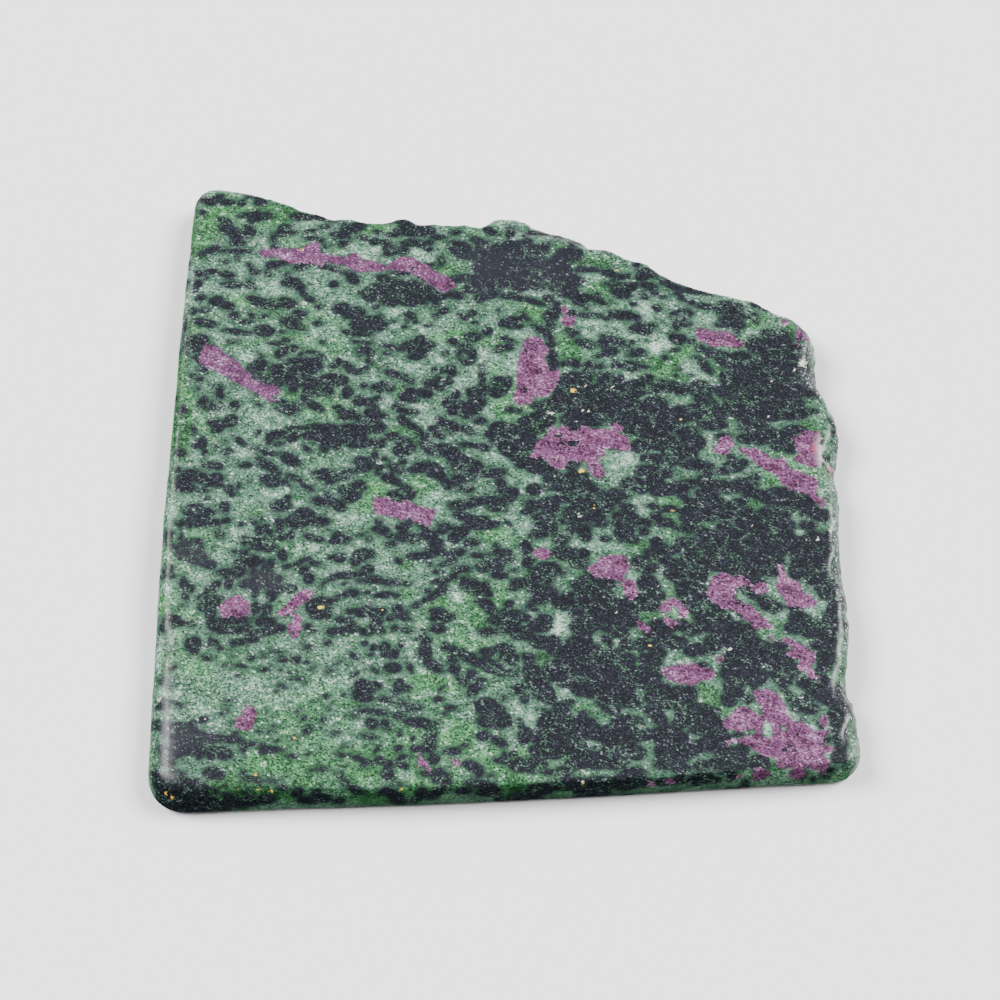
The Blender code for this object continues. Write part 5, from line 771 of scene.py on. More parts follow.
    (-48.3, -47.8, 1.3, 1.3, 0.7), (-36.8, -44.8, 1.3, 1, 0.5), (-33.6, -41.8, 1.3, 0.3, 1),
    (-40.7, -55.6, 0.4, 0.5, 1.7), (-57.9, -57, 0.6, 1.2, 1.2), (-51.5, -58.2, 1.8, 0.7, 1),
    (-52, -61, 0.8, 1.2, 0.4), (-58.7, -37.3, 0.6, 3, -1.3), (-45, -59.4, 3.2, 0.9, -1.2),
    (-43.7, -60.9, 4.6, 1.1, -1.5), (-37.5, -61.4, 2.8, 0.9, -1.5), (-34.3, -59.3, 1.8, 0.9, -0.8),
    (-39, -55.5, 3.6, 1.8, -0.4), (-23.1, -32.9, 0.8, 0.5, 1), (-21.6, -36.5, 1, 1.1, 0.8),
    (-25, -37.1, 0.9, 0.7, 1.2), (-18.4, -39.6, 0.8, 0.5, 1.3), (-10.8, -39.5, 0.5, 0.4, 1.4),
    (-10.7, -43.1, 1.5, 0.3, 1.2), (-8.4, -44.4, 1.5, 0.5, 1.1), (-6.9, -46.7, 1.2, 1.1, 0.9),
    (-10.1, -48.9, 1, 1, 1), (-4.5, -42.6, 0.8, 0.9, 0.9), (-29.7, -47.8, 1.3, 1.5, 0.7),
    (-25.2, -48.6, 0.8, 0.6, 1.2), (-27.2, -50.8, 1.1, 0.8, 0.8), (-4.3, -52.3, 1.1, 0.8, 0.8),
    (-16.5, -57.6, 1.1, 0.8, 0.7), (-13.5, -42.9, 0.8, 0.3, 1), (-18.8, -42.2, 0.4, 0.5, 1.3),
    (-12.9, -41, 2.8, 1.4, -0.3), (-26.3, -44.8, 2.8, 0.7, -0.6), (-22.5, -61.7, 3, 0.8, -1.5),
    (-25, -58.2, 1.3, 0.9, -0.7), (-14.8, -60.6, 2.2, 0.8, -1.2), (-7.3, -59.8, 2.2, 0.7, -1.2),
    (-8.6, -50.4, 2.2, 1.6, -0.3), (2.1, -33.1, 0.4, 0.9, 1.2), (4.3, -34.3, 1.3, 0.9, 0.7),
    (15.3, -32.7, 0.4, 0.8, 1.4), (19.2, -33.3, 0.4, 0.9, 1.4), (18.6, -34.2, 0.7, 0.3, 1.8),
    (14.6, -35.3, 0.5, 0.4, 1.5), (15.4, -36.9, 0.9, 0.5, 1), (9.4, -42.2, 1.3, 0.9, 1),
    (10.7, -43.7, 0.9, 0.5, 1.4), (4.3, -47.6, 1.1, 1.3, 0.9), (2.1, -45.7, 1.3, 1.5, 0.7),
    (13.7, -51.4, 0.4, 1.1, 1.2), (15.4, -52.5, 1.3, 0.5, 0.8), (27, -46, 0.8, 0.5, 1.3),
    (27.9, -47, 0.8, 0.6, 1.4), (30.3, -51, 0.8, 0.8, 1), (23.7, -48.9, 0.6, 0.5, 1.2),
    (22.6, -41.4, 0.8, 1.3, 1), (27.9, -35.8, 0.6, 0.8, 1.2), (1.1, -51.8, 1, 1, 0.6),
    (6.8, -35.8, 1.5, 0.9, -1.1), (13.9, -45.7, 2.4, 1.1, -0.5), (17.7, -47.1, 1.8, 0.7, -0.5),
    (22.6, -46.3, 1.5, 0.9, -0.6), (1.3, -59.7, 1.7, 1.3, -1.3), (2.1, -60.8, 1.4, 0.8, -1.3),
    (7.9, -59.9, 0.9, 0.6, -0.7), (24.1, -55, 0.9, 1.8, -0.3), (38.5, -34.6, 1.2, 0.4, 1.9),
    (36, -35.4, 0.5, 0.4, 1.6), (38.9, -39.3, 0.6, 0.7, 1.4), (44.7, -38, 0.8, 0.7, 1.1),
    (40.6, -43.3, 0.4, 1.3, 1.4), (42.1, -44.8, 0.6, 0.6, 1.4), (44.2, -49.4, 1, 2.4, 1.2),
    (46.9, -49.1, 0.6, 0.8, 1.9), (46.8, -42.9, 0.5, 1.1, 1.3), (48.5, -46.1, 1, 0.7, 1.5),
    (50.2, -47.4, 1.2, 0.5, 1.5), (51.9, -48.9, 1.2, 0.5, 1.5), (48.3, -41, 0.4, 0.9, 1.4),
    (50.2, -43.7, 0.4, 0.9, 2), (43.6, -54.2, 1.4, 0.4, 1.3), (53.4, -54, 0.8, 0.7, 1.4),
    (52.4, -57.2, 0.5, 0.6, 1.7), (47.6, -56.5, 0.7, 1.6, 0.9), (31.4, -51.2, 0.8, 0.8, 1.3),
    (37.6, -49.6, 1.1, 0.3, 1.3), (34.2, -43.3, 2.2, 1.5, -0.5), (35.9, -45.2, 1.8, 1.1, -0.6),
    (50.2, -40.5, 1.1, 0.9, 0.2), (33.1, -42, 1.3, 0.7, -0.4),
]

# Painted glints, white specks at fixed places where single grains catch the light: x, y and radius
# in mm.
GLINT_SPOTS = [
    (15.1, 12.9, 0.3), (8.1, 12.4, 0.5), (8.6, 12, 0.3), (13.2, 17.9, 0.25), (14.6, 18, 0.3),
    (18.8, 17.3, 0.4), (7.3, 11, 0.25), (12.7, 10.5, 0.3), (19.5, 18.1, 0.3), (20.4, 12.5, 0.25),
    (13.9, 12.8, 0.25), (26.5, 9.6, 0.3), (23.3, 7.3, 0.3), (24.3, 6.2, 0.3), (25.8, 6.4, 0.25),
    (54.6, 22.8, 1), (50.3, 20.6, 0.35), (52.7, 21.4, 0.3), (48.5, 19.2, 0.35), (52.5, 24, 0.3),
    (47.6, 11.6, 0.3), (52.2, 9.1, 0.25), (8.6, -1, 0.25), (10.9, -8.8, 0.3), (13, -8.6, 0.5),
    (40, -5.7, 0.2), (34.4, -10.8, 0.3), (43.5, -10.5, 0.25), (54.9, -13.3, 0.4),
    (15.4, -5.4, 0.3), (16.8, -6.3, 0.25), (-8.7, -24.7, 0.35), (21.8, -5.1, 0.25),
    (17, -27.4, 0.25), (19.2, -27.6, 0.25), (57.2, -11.6, 0.35), (-27.6, -19.4, 0.3),
    (26.7, -22.5, 0.25), (37, -1.4, 0.3), (-59.2, -43.9, 0.5), (-51.1, -47.7, 0.25),
    (-40.7, -55.6, 0.3), (18.6, -34.2, 0.3), (38.5, -34.6, 0.4), (50.2, -43.7, 0.4),
    (48.3, -41, 0.3), (12.8, -59, 0.35),
]

# Flecks of pyrite: x and y in mm.
PYRITE = [
    (-38.2, 47.7), (20.9, 42.9), (12.1, 17.1), (12.7, 17), (13.8, 0.4), (13.3, 0.5), (31.7, 10.9),
    (-32.3, -26.6), (-31.8, -26.5), (-21.4, -27.2), (15.6, -7), (29.6, -7.8), (-35.5, -51.1),
    (-45, -60.1), (-41.2, -60.3), (-39.2, -60.6), (-42, -57.5), (-56.9, -61.1), (-55.9, -61.9),
    (-17.5, -60.4), (12.8, -59.1), (24.8, -33.8),
]


# Soft patches: x, y, the two radii in mm and the value in the middle.
# Where hornblende grains crowd between the clots (above zero) or keep away (below).
SHADES = [(5, 44, 10, 6, 0.3), (49, 18, 9, 9, 0.4), (20, 6, 15, 8, 0.35), (44, -12, 14, 8, 0.4),
          (20, -42, 14, 18, 0.3), (30, -22, 15, 8, 0.3), (48, -31, 12, 9, 0.3),
          (-45, 20, 12, 3, 0.2), (-38, -43, 14, 8, -0.3), (-30, -58, 14, 3, -0.2),
          (-52, 4, 5, 9, -0.15), (-30, 9, 10, 6, 0.2), (22, -65, 30, 4.5, 1.0),
          (-56, -65, 9, 4.5, 1.0), (-25, -65, 16, 4.5, 0.3), (-44, -23, 9, 5, 0.2),
          (-51, -53, 7, 5, 0.25), (-8, -8, 12, 9, 0.15)]
# Wide parts of purer, darker zoisite.
PURER = [(-26, -50, 16, 6, -0.3), (-8, -44, 9, 8, -0.2), (-60, 17, 2, 7, -0.8),
         (-30, -57, 24, 3, -0.4)]
# Purple-grey lenses, where the grains are too fine to see, and the duller rubies.
GREY_BANDS = [(-55, -16.5, 3.6, 2.2, 0.8), (-54, -50.3, 5.0, 1.8, 0.7),
              (-41.5, -21.5, 4.0, 2.0, 0.7), (-56.2, -53.3, 2.4, 1.2, 0.7),
              (-5, 43.5, 4.5, 5.5, 0.5), (7, 43.5, 7.0, 5.5, 0.45), (-42, 47, 3, 1.3, 0.8),
              (-36.5, 46.8, 3, 1.8, 0.8), (-31, 45.4, 3, 1.4, 0.8), (-26, 44.2, 3, 1.2, 0.8),
              (-19, 44.5, 2.5, 1.4, 0.7), (-14.5, 42, 2.5, 1.6, 0.6),
              (-54, 24.5, 1.8, 1.8, 0.8), (-51, 22.4, 1.8, 1.8, 0.8), (-48, 20.4, 1.8, 1.8, 0.8),
              (-45, 18.2, 1.8, 1.8, 0.8), (-42.5, 16.8, 1.5, 1.2, 0.9),
              (-18.7, -7.9, 3.5, 1.8, 0.7)]
# Redder and more transparent ruby.
BLUSHES = [(58.2, 0.5, 1.2, 1.2, 0.9), (55.5, 5.0, 0.8, 0.8, 0.6)]
# Milky ruby on the right rim.
MILKY = [(58.3, 4.5, 2.0, 3.4, 0.95)]
# Unpolished places on the top face, whose white speckle is partly painted glints.
FROSTED_AND_GLINTING = [(61, -40, 2.5, 16, 0.5), (60, -15, 2.0, 10, 0.45), (57.5, 24, 2.5, 6, 0.25)]
GLINT_SPOT_STRENGTH = 0.8         # value in the middle of a painted glint spot
PYRITE_STRENGTH = 0.75          # and of a fleck of pyrite
PYRITE_RADIUS = 0.5             # mm
PATCH_END = 1.7                 # where a soft patch has faded out, in its radii
PATCH_FALL = 1.5                # above 1, a patch falls off faster than a dome does

# ---------------------------------------------------------------- how the rock runs
DIP = (0.15, -0.53)             # how far the pattern shifts in x and y for each mm of depth
WANDER = 0.4                    # how far it also strays, for each mm of depth
WANDER_SIZE = 9.0               # size of that straying, mm
WANDER_START = 0.5              # depth below which it strays, mm
WANDER_SEED = 7                 # without a seed, noise_vector is different in each run
EDGE_REACH = 1.2                # how far outside its edge a crystal's depth is still known, mm
STREAK_TILT = math.radians(-22.0)   # the direction in which the rock's grains are drawn out
STREAK_LENGTH = 1.5                 # how much longer than wide they are

# Hornblende grains too small to be placed by hand.
SMALL_GRAINS = 1000             # how many are drawn, before the thin places drop theirs
SMALL_SEED = 20
SMALL_AREA = (62, 64)           # half the width and half the depth that they are drawn in, mm
SMALL_LENGTH = (0.45, 1.15)     # mm
SMALL_WIDTH = (0.4, 0.8)        # as a share of the length
SMALL_STRAY = 18.0              # how far they turn away from the foliation, degrees
CROWD_SIZE = (11.0, 8.0)        # size of the places where they crowd, mm
CROWD_LAYER = 3.0               # which slice of the noise says where that is
CROWD_SHARE = 0.55              # share that is kept where they neither crowd nor thin out

# The tilt of the grains, in degrees, as the rock's bands turn across it: left, right, front and
# back limits of each part in mm, and its tilt.  The first part that a place is in counts.
FAR = 1000.0                    # mm, past any edge
FOLIATION = [(-FAR, FAR, 40.0, FAR, -5.0), (-FAR, -10.0, 0.0, FAR, -28.0),
             (-FAR, -10.0, -FAR, -18.0, 18.0), (-FAR, FAR, -FAR, FAR, -25.0)]


def pattern_places(points):
    """Where each point of the stone is in the pattern drawn on its top face."""
    noise.seed_set(WANDER_SEED)
    depth = np.clip(TOP - points[:, 2], 0.0, None)
    places = points[:, :2] + depth[:, None] * np.array(DIP)
    for n in np.nonzero(depth > WANDER_START)[0]:
        seat = Vector(points[n]) / WANDER_SIZE
        stray = noise.noise_vector(seat) * WANDER * depth[n]
        places[n] += (stray.x, stray.y)
    return places


def foliation(x, y):
    """The tilt in degrees of the grains around a place."""
    return next(tilt for left, right, front, back, tilt in FOLIATION
                if left < x < right and front < y < back)


class Ground:
    """The stone's points in order of x, so that a crystal only looks at the points near it."""

    def __init__(self, places):
        self.order = np.argsort(places[:, 0])
        self.places = places[self.order]
        self.count = len(places)

    def near(self, low, high):
        """The numbers and the places of the points between two corners."""
        first, last = np.searchsorted(self.places[:, 0], (low[0], high[0]))
        ys = self.places[first:last, 1]
        here = np.nonzero((ys > low[1]) & (ys < high[1]))[0] + first
        return here, self.places[here]

    def back(self, values):
        """The values in the order in which the stone has its points."""
        out = np.empty_like(values)
        out[self.order] = values
        return out


def clot_depths(ground, clots):
    """Each point's depth inside the clot it is deepest in, in mm, and below zero outside."""
    depths = np.full(ground.count, -EDGE_REACH)
    for x, y, long, wide, *lean in clots:
        a, b = max(long, wide) / 2, min(long, wide) / 2
        turn = math.radians(sum(lean) + (90.0 if wide > long else 0.0))
        reach = a + EDGE_REACH
        here, at = ground.near((x - reach, y - reach), (x + reach, y + reach))
        dx, dy = at[:, 0] - x, at[:, 1] - y
        u = (dx * math.cos(turn) + dy * math.sin(turn)) / a
        v = (dy * math.cos(turn) - dx * math.sin(turn)) / b
        depths[here] = np.maximum(depths[here], b * (1.0 - np.sqrt(u * u + v * v)))
    return ground.back(depths)


def outline_depths(ground, outlines):
    """Each point's depth inside the nearest outline, in mm, and below zero outside."""
    depths = np.full(ground.count, -EDGE_REACH)
    for outline in outlines:
        corners = np.array(outline)
        here, at = ground.near(corners.min(0) - EDGE_REACH, corners.max(0) + EDGE_REACH)
        nearest = np.full(len(here), np.inf)
        inside = np.zeros(len(here), bool)
        for a, b in zip(corners, np.roll(corners, -1, axis=0)):
            side, to = b - a, at - a
            along = np.clip(to @ side / (side @ side), 0.0, 1.0)
            nearest = np.minimum(nearest, np.hypot(*(to - along[:, None] * side).T))
            crosses = (a[1] > at[:, 1]) != (b[1] > at[:, 1])
            rise = side[1] or 1.0       # a level side is never crossed, so its rise doesn't count
            inside ^= crosses & (at[:, 0] < a[0] + (at[:, 1] - a[1]) / rise * side[0])
        depths[here] = np.maximum(depths[here], np.where(inside, nearest, -nearest))
    return ground.back(depths)


def patch_values(ground, patches):
    """The sum of soft round patches: x, y, the two radii and the value in the middle."""
    values = np.zeros(ground.count)
    for x, y, rx, ry, value in patches:
        wide, deep = PATCH_END * rx, PATCH_END * ry
        here, at = ground.near((x - wide, y - deep), (x + wide, y + deep))
        away = np.hypot((at[:, 0] - x) / rx, (at[:, 1] - y) / ry)
        dome = np.clip(1.0 - (away / PATCH_END) ** 2, 0.0, 1.0)
        values[here] += value * dome ** PATCH_FALL
    return ground.back(values)


def small_grains():
    """Seeded grains of hornblende between the listed ones."""
    draw = random.Random(SMALL_SEED)
    across, along = SMALL_AREA
    grains = []
    for _ in range(SMALL_GRAINS):
        x, y = draw.uniform(-across, across), draw.uniform(-along, along)
        crowd = noise.noise(Vector((x / CROWD_SIZE[0], y / CROWD_SIZE[1], CROWD_LAYER)))
        if draw.random() > CROWD_SHARE + crowd:
            continue
        long = draw.uniform(*SMALL_LENGTH)
        wide = long * draw.uniform(*SMALL_WIDTH)
        grains.append((x, y, long, wide, foliation(x, y) + draw.gauss(0, SMALL_STRAY)))
    return grains


# ---------------------------------------------------------------- colours and nodes
def linear(colour):
    """An sRGB hex colour as the linear RGBA that Blender's sockets take."""
    parts = [int(colour[n:n + 2], 16) / 255 for n in (1, 3, 5)]
    return (*(c / 12.92 if c <= 0.04045 else ((c + 0.055) / 1.055) ** 2.4 for c in parts), 1.0)


def add(tree, kind, inputs=None, out=0, **settings):
    """Adds one node, sets its settings and inputs, and gives back one of its outputs."""
    node = tree.nodes.new(kind)
    for name, value in settings.items():
        if name == "ramp":
            fill_ramp(node.color_ramp, value)
        else:
            setattr(node, name, value)
    for socket, value in (inputs or {}).items():
        if isinstance(value, bpy.types.NodeSocket):
            tree.links.new(value, node.inputs[socket])
        else:
            node.inputs[socket].default_value = value
    return node.outputs[out]


def fill_ramp(ramp, stops):
    """Sets a ramp's stops, each a place from 0 to 1 and a hex colour."""
    while len(ramp.elements) < len(stops):
        ramp.elements.new(0.5)
    for element, (place, colour) in zip(ramp.elements, stops):
        element.position = place
        element.color = linear(colour)


FACTOR, A, B, RESULT = 0, 6, 7, 2   # ShaderNodeMix's colour sockets

# Each mineral's colours from its darkest grains to its lightest.
ZOISITE = ((0.06, "#15261e"), (0.26, "#2b4435"), (0.42, "#406550"), (0.56, "#5b7f6a"),
           (0.72, "#86a590"), (0.92, "#d2e0d6"))
PURE_ZOISITE = ((0.06, "#14281a"), (0.28, "#2c5532"), (0.46, "#43824c"), (0.64, "#65a566"),
                (0.92, "#aed6a8"))
HORNBLENDE = ((0.10, "#0c0c10"), (0.42, "#161820"), (0.62, "#232630"), (0.78, "#3a4149"),
              (0.95, "#84908f"))
RUBY = ((0.10, "#150d14"), (0.27, "#3a1c32"), (0.45, "#603858"), (0.62, "#785072"),
        (0.78, "#a788a2"), (0.94, "#dfd5dd"))
# What lies over them.
HALO = "#1f2c2a"                # zoisite with fine hornblende in it, around a clot
GREY_BAND = "#3a3842"
RUBY_BLUSH = "#95154a"
RUBY_MILK = "#cdbfbf"
RUBY_DULL = "#48304a"
PYRITE_GOLD = "#dcb84a"
# white of the painted glint spots
GLINT_SPOT_WHITE = "#c4c1b0"
# white of the painted glints on single grains
GLINT = "#c8d3d2"
# white of the frosted sides, partly painted glints
FROST_AND_GLINT_WHITE = "#d9e2e0"
# painted shade that darkens the front side
PAINTED_FRONT_SHADE = "#071206"
# brown band along the foot of the front side
FOOT_BROWN = "#3a3026"

# Sizes of the rock's grain in mm, down to the sugary zoisite's, which is under half a millimetre.
TRACT, LUMP, CRUMB = 9.0, 2.6, 0.95
DUST, SPECK, SPARK = 0.27, 0.30, 0.26
CRUMB_DETAIL = 3.0
GRAIN_ROUGHNESS = 0.55          # how strong each finer octave of the grain is
SEAM_SPACING = 2.0              # between the green seams in a clot, mm
SEAM_BEND = 1.8                 # how far they stray from straight, mm
SEAM_BENDS_PER_MM = 0.7
FOOT_BAND_HEIGHT = (0.9, 0.4)        # the brown band starts and is whole at these heights, mm

POLISH_IOR = 1.60               # zoisite's is about 1.69; this one was matched
POLISH_ROUGHNESS = 0.24
POLISH_SPECULAR = 0.48
BUMP_DEPTH = 0.0005             # m

# The stone's own attributes, which say where each marking lies, painted glints and painted shade
# among them.
MARKINGS = ("hornblende", "ruby", "sugar", "raw", "frost", "deep", "grey", "blush", "milk",
            "feldspar", "pyrite")


def polished_rock():
    """Ruby in zoisite, sawn and tumbled with fine grit.

    The grit leaves the green, black and pink grains under one soft even gloss.  The broken sides
    never had it: they look dull and frosted, their white speckle partly painted glints.
    """
    material = bpy.data.materials.new("polished_ruby_in_zoisite")
    material.use_nodes = True
    tree = material.node_tree
    surface = tree.nodes["Principled BSDF"]

    where = add(tree, "ShaderNodeTexCoord", out="Object")
    mm = add(tree, "ShaderNodeVectorMath", {0: where, "Scale": TO_MM}, operation="SCALE")
    streaked = add(tree, "ShaderNodeMapping",
                   {"Vector": mm, "Rotation": (0, 0, STREAK_TILT), "Scale": (STREAK_LENGTH, 1, 1)},
                   vector_type="TEXTURE")
    black, ruby, sugar, raw, ground_off_and_glints, deep, grey_band, blush, milk, feldspar, pyrite = (
        add(tree, "ShaderNodeAttribute", out="Fac", attribute_name=name) for name in MARKINGS)

    def total(*terms, base=0.0):
        """The sum of value times weight."""
        so_far = base
        for value, weight in terms:
            so_far = add(tree, "ShaderNodeMath", {0: value, 1: weight, 2: so_far},
                         operation="MULTIPLY_ADD")
        return so_far

    def grains(size, detail=2.0):
        """A soft value about zero, with lumps size millimetres across."""
        n = add(tree, "ShaderNodeTexNoise",
                {"Vector": streaked, "Scale": 1.0 / size, "Detail": detail,
                 "Roughness": GRAIN_ROUGHNESS}, "Fac")
        return total((n, 1.0), base=-0.5)

    def crystals(size):
        """A value about zero for each crystal, size millimetres across, with sharp edges."""
        n = add(tree, "ShaderNodeTexVoronoi", {"Vector": streaked, "Scale": 1.0 / size}, "Color")
        return total((n, 1.0), base=-0.5)

    def above(low, high, *terms, base=0.0):
        """0 where the sum of the terms is below low and 1 where it is above high."""
        return add(tree, "ShaderNodeMapRange",
                   {"Value": total(*terms, base=base), "From Min": low, "From Max": high},
                   interpolation_type="SMOOTHSTEP", clamp=True)

    def shades(stops, *terms, base=0.0):
        """A mineral's colours from dark to light, picked by the sum of the terms."""
        return add(tree, "ShaderNodeValToRGB", {"Fac": total(*terms, base=base)}, "Color",
                   ramp=stops)

    def layered(colour, *layers):
        """A colour with others laid over it, each as thick as its amount says."""
        for amount, over in layers:
            over = linear(over) if isinstance(over, str) else over
            colour = add(tree, "ShaderNodeMix", {FACTOR: amount, A: colour, B: over}, RESULT,
                         data_type="RGBA")
        return colour

    tracts, lumps, dust = (grains(size) for size in (TRACT, LUMP, DUST))
    crumbs = grains(CRUMB, CRUMB_DETAIL)
    specks, sparks = crystals(SPECK), crystals(SPARK)

    # Zoisite: fine sugary grains, paler where it is coarse and greener where it is pure.
    tone = total((lumps, 0.4), (crumbs, 0.4), (dust, 1.3), (specks, 0.5), (sugar, 0.15), base=0.43)
    purer = above(-0.1, 0.8, (sugar, -1.0), (crumbs, 0.8), (tracts, 2.6))
    grey = total((grey_band, above(0.16, -0.12, (dust, 1.0), (specks, 0.5))))
    # Hornblende: black grains that crowd into clots and thin out around them.
    edge = total((crumbs, 1.0), (dust, 0.9), (specks, 0.34), (black, 1.0), base=0.20)
    is_black = above(-0.14, 0.10, (edge, 1.0))
    halo = above(-0.85, 0.10, (edge, 1.0), (dust, 1.5), (specks, 0.6))
    green = layered(shades(ZOISITE, (tone, 1.0)),
                    (total((purer, 0.8)), shades(PURE_ZOISITE, (tone, 1.0))),
                    (grey, GREY_BAND), (total((halo, 0.55)), HALO))

    # Thin green seams run through the larger clots.
    bent = add(tree, "ShaderNodeTexNoise",
               {"Vector": mm, "Scale": SEAM_BENDS_PER_MM, "Detail": 2.0}, "Color")
    bent = add(tree, "ShaderNodeVectorMath", {0: bent, 1: (SEAM_BEND,) * 3, 2: streaked},
               operation="MULTIPLY_ADD")
    cells = add(tree, "ShaderNodeTexVoronoi", {"Vector": bent, "Scale": 1.0 / SEAM_SPACING},
                "Distance", feature="DISTANCE_TO_EDGE")
    seam = total((above(0.16, 0.03, (cells, 1.0)), above(-0.02, 0.22, (lumps, 1.0), (dust, 1.4))))
    coal = layered(shades(HORNBLENDE, (dust, 1.4), (crumbs, 0.5), (specks, 0.4), base=0.42),
                   (total((seam, 0.7)), green), (total((grey, 0.6)), GREY_BAND))

    # Painted glints: white specks in the colour where single grains would face the light, more on
    # the zoisite than on the hornblende.
    glint = above(0.29, 0.46, (sparks, 1.0), (crumbs, 0.8), (sugar, 0.05), (is_black, -0.10),
                  (deep, -0.2))
    glint = total((glint, total((is_black, -0.38), base=0.6)))

    # Ruby: an opaque grainy pink, eaten into at its edges by the rock around it.
    is_ruby = above(-0.05, 0.07, (crumbs, 0.9), (dust, 1.0), (specks, 0.5), (ruby, 1.0), base=0.06)
    pink = shades(RUBY, (dust, 0.8), (sparks, 0.4), (crumbs, 0.4), (lumps, 0.5), (specks, 0.2),
                  base=0.46)
    pink = layered(pink, (blush, RUBY_BLUSH), (milk, RUBY_MILK), (total((grey, 0.6)), RUBY_DULL))

    # Pyrite is single gold flecks, and a few white specks at fixed places are painted glints.
    is_pyrite = above(0.58, 0.72, (sparks, 0.6), (pyrite, 1.0))
    is_glint_spot = above(0.42, 0.62, (feldspar, 1.0), (specks, 0.5), (dust, 0.5))

    # Frost: white speckle on the unpolished sides, partly ground grains and partly painted glints.
    frost = above(0.50, 0.66, (ground_off_and_glints, 0.4), (specks, 1.3), (dust, 1.6))
    frost = total((frost, above(0.02, 0.14, (ground_off_and_glints, 1.0))))

    # The foot of the front side has a dull brown band, and the front side itself is darkened
    # with painted shade.
    height = add(tree, "ShaderNodeSeparateXYZ", {"Vector": mm}, "Z")
    foot_band = total((above(*FOOT_BAND_HEIGHT, (height, 1.0), (dust, 1.0)), deep))

    # Over the rock's own colours lie painted glints, the partly painted white of the frosted sides
    # and painted shade on the front.
    rock = layered(green, (is_black, coal), (glint, GLINT), (is_ruby, pink),
                   (is_pyrite, PYRITE_GOLD), (total((frost, 0.8)), FROST_AND_GLINT_WHITE),
                   (is_glint_spot, GLINT_SPOT_WHITE), (total((foot_band, 0.7)), FOOT_BROWN),
                   (total((deep, 0.38)), PAINTED_FRONT_SHADE))
    roughness = total((raw, 0.10), (frost, 0.25), (dust, 0.10), base=POLISH_ROUGHNESS)
    specular = total((raw, -0.55), (ground_off_and_glints, 1.1), base=POLISH_SPECULAR)
    bump = add(tree, "ShaderNodeBump",
               {"Strength": total((ground_off_and_glints, 1.6), (raw, 0.35), base=0.08),
                "Distance": BUMP_DEPTH, "Height": total((crumbs, 0.5), (specks, 0.6))}, "Normal")
    for value, socket in ((rock, "Base Color"), (roughness, "Roughness"),
                          (specular, "Specular IOR Level"), (bump, "Normal")):
        tree.links.new(value, surface.inputs[socket])
    surface.inputs["IOR"].default_value = POLISH_IOR
    return material


# ---------------------------------------------------------------- the stone
SAME_PLACE = 1e-7               # m, corners closer than this are one
PIT_SIZES = (2.6, 1.1)          # mm
PIT_DEPTH = 0.45                # mm
SMALL_PITS = 0.6                # depth of the small pits as a share of the large
PIT_COVER = 0.25                # how far the pits spread over a side
BACK_BROKEN = 0.8               # how broken the back is, beside the right side's 1
LEAST_BROKEN = 0.15             # a point less broken than this has no pits
SIDE_FALL = 1.5                 # how fast a side's look fades where the rim turns up
RAW_RIM = 1.5                   # how early the rim counts as a side
FRONT_RIM = 1.4                 # how early the rim counts as the front
# How frosted the sides are, partly with painted glints, and how much more hornblende they show, as
# a patch's value.
FROST_AND_GLINTS_RIGHT, FROST_AND_GLINTS_LEFT, FROST_AND_GLINTS_BACK = 0.2, 0.08, 0.15
BLACK_RIGHT, BLACK_BACK = 0.6, 0.2


def even_copy(solid):
    """The CAD solid's shape in small even faces, which are fine enough to carry the pattern."""
    mesh = bmesh.new()
    mesh.from_mesh(solid.data)
    bmesh.ops.remove_doubles(mesh, verts=mesh.verts, dist=SAME_PLACE)
    data = bpy.data.meshes.new("polished_slab")
    mesh.to_mesh(data)
    mesh.free()
    stone = bpy.data.objects.new("polished_slab", data)
    bpy.context.scene.collection.objects.link(stone)
    remesh = stone.modifiers.new("even_faces", "REMESH")
    remesh.mode = "VOXEL"
    remesh.voxel_size = VOXEL * MM
    remesh.use_smooth_shade = True
    seen = stone.evaluated_get(bpy.context.evaluated_depsgraph_get())
    even = bpy.data.meshes.new_from_object(seen)
    stone.modifiers.remove(remesh)
    stone.data = even
    even.name = "polished_slab"
    return stone


def vectors(elements, name):
    """One vector of each element of a mesh, as the rows of an array."""
    values = np.empty(len(elements) * 3)
    elements.foreach_get(name, values)
    return values.reshape(-1, 3)


def facing(amounts):
    """How much each point faces a side, from 0 to 1."""
    return np.clip(amounts, 0, 1) ** SIDE_FALL


def chip_broken_sides(points, normals):
    """Sinks small pits into the right and back sides, which were broken and never sawn."""
    broken = np.clip(np.maximum(normals[:, 0], normals[:, 1] * BACK_BROKEN), 0.0, 1.0)
    for n in np.nonzero(broken > LEAST_BROKEN)[0]:
        seat = Vector(points[n])
        pits = noise.noise(seat / PIT_SIZES[0]) + SMALL_PITS * noise.noise(seat / PIT_SIZES[1])
        points[n] -= normals[n] * broken[n] * PIT_DEPTH * max(0.0, pits + PIT_COVER)


